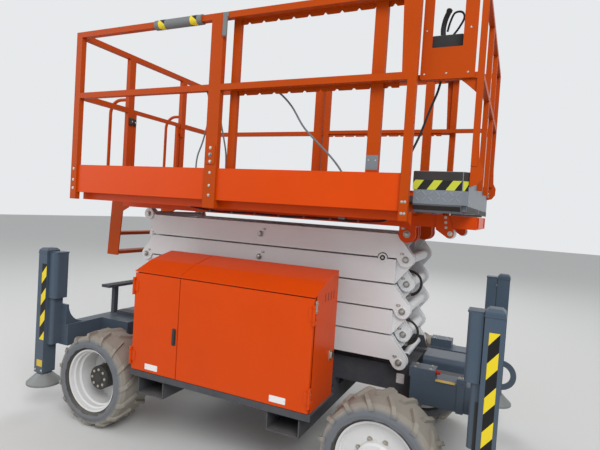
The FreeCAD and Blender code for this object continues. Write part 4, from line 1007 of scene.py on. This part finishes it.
class Details:
    """Adds the small things that stand on the machine's surfaces."""

    SKINS = {"stack": ("arm_", "platform_frame"), "posts": ("outrigger_posts",), "guard": ("control_guard",
             "extension_rails"), "beams": ("front_beam", "rear_beam", "chassis_frame"), "deck": ("extension_deck",),
             "doors": ("main_door", "small_door", "cabinet_"), "wheels": ("rim_", "rear_axle", "knuckle"),
             "frame": ("platform_frame", "toe_boards"), "rails": ("platform_rails", "gate", "ladder"),
             "box": ("control_box",)}

    def __init__(self, bench: Workbench) -> None:
        """Keeps the bench and reads the surfaces.

        Args:
            bench: Where shapes are made.
        """
        self.bench = bench
        self.skins = {name: Skin(*words) for name, words in self.SKINS.items()}

    def look(self, skin: str, side: Side, start: Vec, way: Vec = IN, reach: float = 0.4) -> Spot | None:
        """Looks for a surface along a line given for the left side and mirrored for the right.

        Args:
            skin: The surfaces to look at.
            side: The machine's side.
            start: Where the line starts.
            way: Its direction.
            reach: How far to look.

        Returns:
            The spot, or None.
        """
        (x, y, z), (u, v, w) = start, way
        return self.skins[skin].spot((x, y * side.value, z), (u, v * side.value, w), reach)

    def put(self, skin: str, at: tuple[Any, Any, Any], way: Vec, reach: float, *things: Plate | Turned | Heads,
            sides: tuple[Side, ...] = tuple(Side), out: Vector | None = None) -> None:
        """Sets things where lines meet a surface.

        Args:
            skin: The surfaces to look at.
            at: The lines' starts; a tuple in place of X, Y or Z stands for several.
            way: Their direction.
            reach: How far to look.
            things: What to set there.
            sides: The sides that get them.
            out: Where they face, if not as the surface does.
        """
        spans = [v if isinstance(v, tuple) else (v,) for v in at]
        for side, start in itertools.product(sides, itertools.product(*spans)):
            found = self.look(skin, side, start, way, reach)
            for thing in things if found else ():
                spot = Spot(found.at, out or found.out, found.body).raised(thing.raised)
                if isinstance(thing, Plate):
                    place = spot.raised(0.0, thing.shift)
                    self.bench.plate(place, thing.finish, rounded(*thing.size), thing.depth, thing.chamfer)
                elif isinstance(thing, Turned):
                    self.bench.lathe(spot, thing.finish, thing.profile)
                else:
                    for dz, dx in itertools.product(thing.dz, thing.dx):
                        self.bench.fasten(spot.raised(0.0, (dx, 0.0, dz)), thing.size, thing.kind)


class StackDetails(Details):
    """Pins, keepers and hoses of the scissor stack."""

    PIN_X = (1.025, -1.045)
    PIN_Z0, PITCH, LEVELS = 0.7375, 0.160, 5
    CAP = [(0.0205, -SINK), (0.0205, 0.002), (0.0185, 0.0035), (0.0155, 0.0035), (0.0155, 0.008), (0.0135, 0.010)]

    def build(self) -> None:
        """Adds the pins' caps and keepers, the rest bush's recess and the hoses."""
        middle = sum(self.PIN_X) / 2
        places = [(x, self.PIN_Z0 + self.PITCH * k) for x in self.PIN_X for k in range(self.LEVELS + 1)]
        places += [(middle, self.PIN_Z0 + self.PITCH * (k + 0.5)) for k in range(self.LEVELS)]
        for side, (x, z) in itertools.product(Side, places):
            self.pin(side, x, z)
        self.put("stack", (0.879, 0.7, self.PIN_Z0 + self.PITCH * 4), IN, 0.5,
                 Turned(DARK_CAP_AND_PAINTED_SHADOW, [(0.017, -SINK), (0.017, 0.0015), (0.012, 0.0015), (0.010, 0.0005)]),
                 Heads(0.005, 0.0005))
        for level, body in ((1, "arm_2_inner"), (3, "arm_4_inner")):
            for y, reach in ((-0.200, 0.080), (-0.184, 0.074)):
                self.hose(body, y, self.PIN_Z0 + self.PITCH * level, reach)

    def pin(self, side: Side, x: float, z: float) -> None:
        """Caps a pin's end and bolts a small keeper beside it, where the same lug has room.

        Args:
            side: The machine's side.
            x: The pin's place along X.
            z: Its height.
        """
        pin = self.look("stack", side, (x, 0.7, z), reach=0.5)
        if pin is None:
            return
        self.bench.lathe(pin, PIN_STEEL, self.CAP)
        self.bench.fasten(pin.raised(0.010), 0.0075)
        keeper = self.look("stack", side, (x + math.copysign(0.026, -x), 0.7, z + 0.034), reach=0.5)
        if keeper and keeper.body == pin.body and abs(keeper.at.y - pin.at.y) <= 0.014:
            self.bench.plate(keeper, PIN_STEEL, rounded(0.026, 0.012, 0.004), 0.003, 0.001)
            self.bench.fasten(keeper.raised(0.004), 0.005)

    def hose(self, body: str, y: float, z: float, reach: float) -> None:
        """Bends a hose round a front knee, on the arm above the knee.

        Args:
            body: The arm.
            y: The hose's place across the machine.
            z: The knee's height.
            reach: The loop's radius.
        """
        knee, turn = self.PIN_X[0], [math.radians(a) for a in range(-80, 91, 10)]
        line = [(knee + reach * math.cos(a), y, z + reach * math.sin(a)) for a in turn]
        line += [(knee - back, y - out, z + reach - drop) for back, out, drop in
                 ((0.05, 0.0, 0.0), (0.20, 0.004, 0.002), (0.42, 0.006, 0.004))]
        self.bench.tube(body, HOSE, smooth_path(line, 3), 0.0065)
        foot = Spot(Vector(line[0]), Vector((-0.985, 0.0, -0.17)), body)
        self.bench.lathe(foot, ZINC, [(0.0085, -0.004), (0.0085, 0.022), (0.006, 0.024)], 6)


class ChassisDetails(Details):
    """Tape, plates, latches and bolts on the chassis, the cabinets and the outriggers."""

    STEP_PITCH = 0.024

    def build(self) -> None:
        """Adds everything."""
        self.posts()
        self.blanks()
        self.cabinets()
        for side in Side:
            self.roof(side)
        self.front_box()
        for side, end in itertools.product(Side, End):
            self.wheel(side, end)
        pitch = self.STEP_PITCH
        points = [(-1.487 + pitch * i, -0.324 + pitch * k, 0.9076) for i in range(2) for k in range(28)]
        self.bench.treads("chassis_step_treads", points, pitch, SLATE, "chassis", "chassis")

    def posts(self) -> None:
        """Tapes and bolts the four posts, and lays a dark strip in the channel beside each front post as painted
        shadow.
        """
        for x, z, height in ((1.572, 0.7625, 0.725), (-1.549, 0.8325, 0.575)):
            self.put("posts", (x, 1.0, z), IN, 0.3, Plate(POST_TAPE, (0.048, height, 0.001, 1), TAPE_DEPTH))
        self.put("posts", ((-1.603, -1.537, 1.537, 1.603), 1.0, 0.31), IN, 0.3, Heads(0.0055))
        for end in End:
            self.put("posts", (end.value * 1.8, (0.715, 0.745), (0.90, 1.15)), (-end.value, 0, 0), 0.4, Heads(0.005))
        # a dark strip on the beam beside each front post, painted shadow where the beam's side lies in shade
        self.put("beams", (1.516, 1.0, 0.55), IN, 0.3, Plate(PLASTIC_AND_PAINTED_SHADOW, (0.018, 0.450, 0.002, 1), 0.0015))

    def blanks(self) -> None:
        """Sets the blank plates: white on the doors and the chassis, yellow on the rear post."""
        for skin, start, width, height, finish in (
                ("doors", (-0.488, 1.2, 0.544), 0.106, 0.038, BLANK_WHITE),
                ("doors", (0.452, 1.2, 0.546), 0.106, 0.038, BLANK_WHITE),
                ("beams", (1.029, 0.6, 0.617), 0.050, 0.062, BLANK_WHITE),
                ("posts", (-1.560, 1.0, 0.365), 0.060, 0.050, BLANK_YELLOW)):
            self.put(skin, start, IN, 0.9, Plate(finish, (width, height, 0.004), 0.0012),
                     Heads(0.0022, 0.0012, (-0.44 * width, 0.44 * width), kind=Head.RIVET), sides=NEAR)

    def cabinets(self) -> None:
        """Puts a bar latch beside each door seam, and a catch and two hinges on each cabinet's front end."""
        self.put("doors", (-0.313, 1.2, 0.777), IN, 0.6, Plate(PLASTIC_AND_PAINTED_SHADOW, (0.030, 0.112, 0.008), 0.003, 0.0015),
                 Plate(DARK_CAP_AND_PAINTED_SHADOW, (0.017, 0.092, 0.006), 0.008, 0.003, 0.003))
        self.put("doors", (0.9, 0.568, 0.770), BACK, 0.5, Plate(ZINC, (0.046, 0.062, 0.005), 0.003, 0.001),
                 Plate(ZINC, (0.026, 0.044, 0.006), 0.011, 0.003, 0.003),
                 Plate(PLASTIC_AND_PAINTED_SHADOW, (0.012, 0.040, 0.005), 0.005, 0.002, 0.014, (0.0, 0.0, 0.006)))
        self.put("doors", (0.9, 0.846, (1.110, 0.595)), BACK, 0.5, Plate(ZINC, (0.026, 0.072, 0.004), 0.0025, 0.0008),
                 Heads(0.0065, 0.0025, dz=(0.022, -0.022)), out=FORWARD)

    def roof(self, side: Side) -> None:
        """Runs a raised strip over a cabinet's roof in line with the seam, and darkens the end's slots.

        Args:
            side: The machine's side.
        """
        cabinet = self.look("doors", side, (-0.20, 0.60, 1.6), DOWN, 0.8)
        for ys in ((0.520, 0.700), (0.718, 0.852)) if cabinet else ():
            a, b = (self.look("doors", side, (-0.302, y, 1.6), DOWN, 0.8) for y in ys)
            if a and b:
                gap = b.at - a.at
                self.bench.plate(Spot((a.at + b.at) / 2, a.out, cabinet.body), ORANGE,
                                 rounded(0.022, gap.length, 0.004), 0.003, 0.0012, gap.normalized())
        back = self.look("doors", side, (0.45, 0.685, 1.140), (1.0, 0.0, 0.0))
        if back:
            mesh = Spot(Vector((back.at.x, side.value * 0.637, 1.140)), back.out, back.body)
            self.bench.plate(mesh, PLASTIC_AND_PAINTED_SHADOW, rounded(0.170, 0.062, 0.004), 0.0012)
            for y in (0.706, 0.661, 0.6165, 0.572):
                slot = Spot(Vector((0.6485, side.value * y, 1.140)), FORWARD, back.body)
                self.bench.plate(slot, PLASTIC_AND_PAINTED_SHADOW, rounded(0.011, 0.052, 0.004), 0.0018)

    def front_box(self) -> None:
        """Adds the clamps' bolts, a red connector and a yellow marker on the wide front box."""
        for xs, ys in (((1.395, 1.415), 0.41), ((1.14, 1.23), (0.35, 0.42))):
            self.put("beams", (xs, ys, 1.0), DOWN, 0.5, Heads(0.0065))
        plug = [(0.013, -SINK), (0.013, 0.010), (0.010, 0.011), (0.010, 0.026), (0.0075, 0.028)]
        self.put("beams", (1.45, 0.40, 0.738), BACK, 0.4, Turned(SIGNAL_RED, plug), sides=NEAR)
        self.put("beams", (1.318, 0.427, 1.0), DOWN, 0.5, Plate(BLANK_YELLOW, (0.040, 0.110), 0.001), sides=NEAR)

    def wheel(self, side: Side, end: End) -> None:
        """Rings a wheel disc with nuts, and gives a rear wheel its dark hub drum.

        Args:
            side: The machine's side.
            end: The machine's end.
        """
        x, front = end.value * WHEEL_X, end is End.FRONT
        for radius, count, size in ((0.112, 8, 0.010), (0.044, 6, 0.006))[:1 + front]:
            for a in (2 * math.pi * (i + 0.5) / count for i in range(count)):
                start = (x + radius * math.cos(a), 1.0, WHEEL_Z + radius * math.sin(a))
                nut = self.look("wheels", side, start, reach=0.6)
                self.bench.fasten(nut if nut and abs(nut.out.y) > 0.9 else None, size)
        disc, cap = (self.look("wheels", side, (x + dx, 1.0, WHEEL_Z), reach=0.6) for dx in (0.082, 0.0))
        if front or not disc or not cap:
            return
        high = max(abs(cap.at.y) - abs(disc.at.y) + 0.004, 0.03)
        foot = Spot(Vector((x, disc.at.y, WHEEL_Z)), Vector((0, side.value, 0)), disc.body)
        drum = [(0.094, -SINK), (0.094, 0.006), (0.086, 0.010), (0.086, high - 0.008), (0.078, high), (0.036, high),
                (0.034, high + 0.005), (0.022, high + 0.007)]
        self.bench.lathe(foot, HUB_BLACK, drum, 40)
        for a in (2 * math.pi * i / 8 for i in range(8)):
            self.bench.fasten(foot.raised(high, (0.060 * math.cos(a), 0, 0.060 * math.sin(a))), 0.0065)


class PlatformDetails(Details):
    """Controls, tape, cables and bolts on the platform and its roll-out deck."""

    CONTROL_CABLE = [(1.222, -0.690, 2.521), (1.219, -0.700, 2.42), (1.205, -0.705, 2.32), (1.168, -0.702, 2.217),
                     (1.125, -0.700, 2.086), (1.080, -0.698, 1.978), (1.045, -0.690, 1.88), (1.020, -0.680, 1.80),
                     (0.985, -0.668, 1.7665), (0.90, -0.655, 1.7645), (0.80, -0.650, 1.7645)]
    RAIL_CABLES = (
        ("extension", 0.0058, [
            (0.225, -0.768, 2.352), (0.245, -0.735, 2.350), (0.281, -0.720, 2.335), (0.360, -0.720, 2.258),
            (0.441, -0.720, 2.141), (0.524, -0.720, 2.058), (0.625, -0.720, 1.966), (0.691, -0.720, 1.892),
            (0.735, -0.716, 1.820), (0.770, -0.712, 1.770), (0.830, -0.705, 1.7640), (0.900, -0.700, 1.7635)]),
        ("platform", 0.0050, [
            (-0.195, -0.812, 2.350), (-0.188, -0.803, 2.310), (-0.182, -0.800, 2.187), (-0.214, -0.800, 2.048),
            (-0.250, -0.800, 1.953), (-0.259, -0.800, 1.882), (-0.258, -0.796, 1.790), (-0.256, -0.790, 1.7215)]),
        ("platform", 0.0050, [
            (-0.136, -0.790, 2.345), (-0.135, -0.760, 2.290), (-0.127, -0.742, 2.172), (-0.101, -0.740, 2.070),
            (-0.079, -0.740, 1.981), (-0.072, -0.740, 1.893), (-0.074, -0.738, 1.800), (-0.078, -0.735, 1.7215)]))
    BEAM_CABLE_Y = -0.3800
    BEAM_CABLE = ((-0.62, 1.620), (-0.50, 1.604), (-0.36, 1.594), (-0.10, 1.597), (0.15, 1.5935), (0.40, 1.597),
                  (0.58, 1.596), (0.66, 1.594), (0.78, 1.598), (0.86, 1.606), (0.90, 1.622))
    LOOP = ((1.222, -0.655, 0.05), (1.232, -0.650, 0.10), (1.252, -0.648, 0.146), (1.288, -0.648, 0.148),
            (1.302, -0.650, 0.116), (1.280, -0.654, 0.066), (1.250, -0.660, 0.020), (1.246, -0.662, 0.001))
    GRIP = ((1.205, -0.665, 0.012), (1.201, -0.663, 0.06), (1.208, -0.660, 0.11), (1.222, -0.658, 0.150))
    ON_BOX = (
        (1.205, -0.665, PLASTIC_AND_PAINTED_SHADOW, [(0.034, -SINK), (0.034, 0.006), (0.026, 0.014), (0.014, 0.022)]),
        (1.275, -0.70, PLASTIC_AND_PAINTED_SHADOW, [(0.009, -SINK), (0.009, 0.004), (0.006, 0.007)]),
        (1.298, -0.70, PLASTIC_AND_PAINTED_SHADOW, [(0.009, -SINK), (0.009, 0.004), (0.006, 0.009)]),
        (1.285, -0.635, SIGNAL_RED, [(0.011, -SINK), (0.011, 0.004), (0.018, 0.006), (0.018, 0.014),
                                     (0.013, 0.018)]))
    FLOOR_PITCH = 0.055
    FLOORS = (("platform_floor_treads", "platform", -1.265, -0.075, 0.715, 1.7204, ORANGE),
              ("deck_floor_treads", "extension", -0.015, 1.365, 0.700, 1.7574, GALVANISED))

    def build(self) -> None:
        """Adds everything."""
        top = self.look("box", Side.RIGHT, (1.24, 0.67, 3.2), DOWN, 1.5)
        if top:
            self.controls(top.at.z)
        self.cables()
        for side in Side:
            self.nose(side)
        self.nose_edges()
        self.rails()
        self.extras()
        pitch = self.FLOOR_PITCH
        for name, body, x0, x1, y1, z, finish in self.FLOORS:
            columns, rows = int((x1 - x0) / pitch) + 1, int(2 * y1 / pitch) + 1
            points = [(x0 + pitch * i, -y1 + pitch * k, z) for i in range(columns) for k in range(rows)]
            self.bench.treads(name, points, pitch, finish, body, "rail")

    def controls(self, z: float) -> None:
        """Puts a lever, buttons and a looped cable on the control box.

        Args:
            z: Height of the box's top.
        """
        body = "extension"
        for x, y, finish, profile in self.ON_BOX:
            self.bench.lathe(Spot(Vector((x, y, z)), UP, body), finish, profile)
        grip = smooth_path([(x, y, z + up) for x, y, up in self.GRIP], 5)
        self.bench.tube(body, PLASTIC_AND_PAINTED_SHADOW, grip, 0.0135, 14)
        tip = Spot(grip[-1], (grip[-1] - grip[-2]).normalized(), body)
        self.bench.lathe(tip, PLASTIC_AND_PAINTED_SHADOW, [(0.0135, -0.002), (0.016, 0.004), (0.015, 0.014), (0.008, 0.019)])
        self.bench.tube(body, HOSE, smooth_path([(x, y, z + up) for x, y, up in self.LOOP], 8), 0.0055)

    def cables(self) -> None:
        """Hangs the cables down to the floors, and runs a clipped one with its box along the track beam."""
        self.bench.tube("extension", HOSE, smooth_path(self.CONTROL_CABLE, 6), 0.0062)
        for body, radius, line in self.RAIL_CABLES:
            self.bench.tube(body, CABLE_GREY, smooth_path(line, 5), radius)
        line = smooth_path([(x, self.BEAM_CABLE_Y, z) for x, z in self.BEAM_CABLE], 6)
        self.bench.tube("platform", HOSE, line, 0.0065)
        mesh = bpy.data.meshes.new("cable_line")
        mesh.from_pydata(line, [(i, i + 1) for i in range(len(line) - 1)], [])
        self.bench.bake("platform_cable_clips", mesh, self.bench.repeats.clips, {"Pitch": 0.19, "Radius": 0.0078},
                        CABLE_GREY, "platform", CABLE_GREY.slot)
        self.put("frame", (0.603, 0.6, 1.626), IN, 0.4, Plate(GREY_PLASTIC, (0.046, 0.052, 0.005), 0.026, 0.003),
                 Plate(GREY_PLASTIC, (0.040, 0.046, 0.005), 0.003, 0.001, 0.026),
                 Heads(0.0022, 0.029, (-0.016, 0.016), (-0.019, 0.019), Head.RIVET), sides=NEAR)

    def nose(self, side: Side) -> None:
        """Caps and tapes one corner of the roll-out deck's nose and raises its side sheet's pattern.

        Args:
            side: The machine's side.
        """
        for z, height, finish in ((1.861, 0.044, DARK_CAP_AND_PAINTED_SHADOW), (1.8145, 0.049, DECK_TAPE)):
            corner = self.look("deck", side, (1.55, 0.93, z), (-0.757, -0.757, 0.0), 0.6)
            if corner:
                corner = Spot(Vector((1.386, side.value * 0.7865, z)), corner.out, corner.body)
                self.bench.plate(corner, finish, rounded(0.034, height, 0.001, 1), TAPE_DEPTH)
        for k, row in itertools.product(range(7), range(2)):
            found = self.look("deck", side, (1.152 + 0.034 * k, 1.0, 1.742 + 0.030 * row))
            if found:
                a = math.radians(45.0 if (k + row) % 2 else -45.0)
                bar = [(u * math.cos(a) - v * math.sin(a), u * math.sin(a) + v * math.cos(a))
                       for u, v in rounded(0.031, 0.006, 0.002, 2)]
                self.bench.plate(found, RAISED_SHEET, bar, 0.0016, 0.0006)

    def nose_edges(self) -> None:
        """Caps, tapes and rivets the nose's long faces, and lays dark strips along their turned-in lower edge as
        painted shadow.
        """
        for z, height, finish in ((1.861, 0.044, DARK_CAP_AND_PAINTED_SHADOW), (1.8145, 0.049, DECK_TAPE)):
            self.put("deck", (1.2485, 1.0, z), IN, 0.6, Plate(finish, (0.243, height, 0.001, 1), TAPE_DEPTH))
        for ys, z in (((0.72, 0.42), 1.735), ((0.60, 0.24), 1.725)):
            self.put("deck", (1.7, ys, z), BACK, 0.5, Heads(0.006, kind=Head.RIVET))
        # dark strips along the nose's lower edge, painted shadow under the deck's edge
        for x, y, way, width in ((1.2485, 1.0, IN, 0.236), (1.7, 0.40, BACK, 0.76)):
            self.put("deck", (x, y, 1.698), way, 0.6, Plate(DARK_CAP_AND_PAINTED_SHADOW, (width, 0.034, 0.001, 1), 0.0006))

    def rails(self) -> None:
        """Bolts the rails, the guard and the brackets."""
        self.put("rails", ((-1.317, -0.119), 1.0, (1.70, 1.76, 1.84)), IN, 0.4, Heads(0.006))
        self.put("rails", ((1.085, 1.101), 1.0, (1.66, 1.72)), IN, 0.4, Heads(0.005))
        for x, z, size in ((1.246, 1.655, 0.0055), (1.249, 1.625, 0.0055), (1.252, 1.595, 0.0055),
                           (1.278, 1.560, 0.010), (1.025, 1.5375, 0.014)):
            self.put("frame", (x, 0.6, z), IN, 0.4, Heads(size))
        self.put("guard", (1.7, (0.70, 0.755), (1.838, 1.862)), BACK, 0.5, Heads(0.006))
        for xs, zs in (((1.14, 1.355), (2.38, 2.60, 2.82)), (1.25, (2.38, 2.82))):
            self.put("guard", (xs, 1.0, zs), IN, 0.4, Heads(0.005, kind=Head.RIVET), sides=NEAR)

    def extras(self) -> None:
        """Adds the middle post's bracket, the lock lever, the sleeve's tape, the post bases and the gate's latch."""
        pin = [(0.013, -SINK), (0.013, 0.003), (0.008, 0.004), (0.008, 0.011), (0.006, 0.013)]
        self.put("rails", (-0.119, 1.0, 1.950), IN, 0.4, Plate(RAIL_ORANGE, (0.066, 0.120, 0.010), 0.005, 0.0015),
                 Heads(0.0065, 0.005, dz=(0.042, -0.042)), Turned(PIN_STEEL, pin, 0.005), sides=NEAR)
        self.put("rails", (-0.062, 1.0, 2.798), IN, 0.3,
                 Plate(GREY_PLASTIC, (0.040, 0.030, 0.006), 0.006, 0.002, 0.0, (0.0, 0.0, 0.002)),
                 Plate(GREY_PLASTIC, (0.030, 0.125, 0.010), 0.010, 0.004, 0.001, (0.0, 0.0, -0.068)), sides=NEAR)
        for x in (-0.585, -0.330):
            ring = Spot(Vector((x, -0.8255, 2.798)), FORWARD, "platform")
            self.bench.lathe(ring, POST_TAPE, [(0.0306, 0.0), (0.0317, 0.0), (0.0317, 0.05), (0.0306, 0.05)], 28)
        self.put("guard", (0.895, 1.0, 1.925), IN, 0.4, Plate(GALVANISED, (0.068, 0.080, 0.002, 1), 0.0012),
                 Heads(0.004, 0.0012, (-0.02, 0.02), (0.012,), Head.RIVET))
        for y, width, depth in ((0.336, 0.034, 0.022), (0.289, 0.026, 0.014)):
            self.put("rails", (-1.15, y, 2.276), BACK, 0.5, Plate(PLASTIC_AND_PAINTED_SHADOW, (width, 0.058, 0.007), depth, 0.004),
                     Heads(0.005, depth), sides=NEAR)


def main() -> None:
    """Builds the studio, dresses the machine and adds its details."""
    Studio().build()
    paint = Paintshop()
    for finish, words in DRESSING:
        paint.dress(finish, words)
    bench = Workbench(paint)
    for details in (StackDetails, ChassisDetails, PlatformDetails):
        details(bench).build()
    bench.ship()


if __name__ == "__main__":
    main()
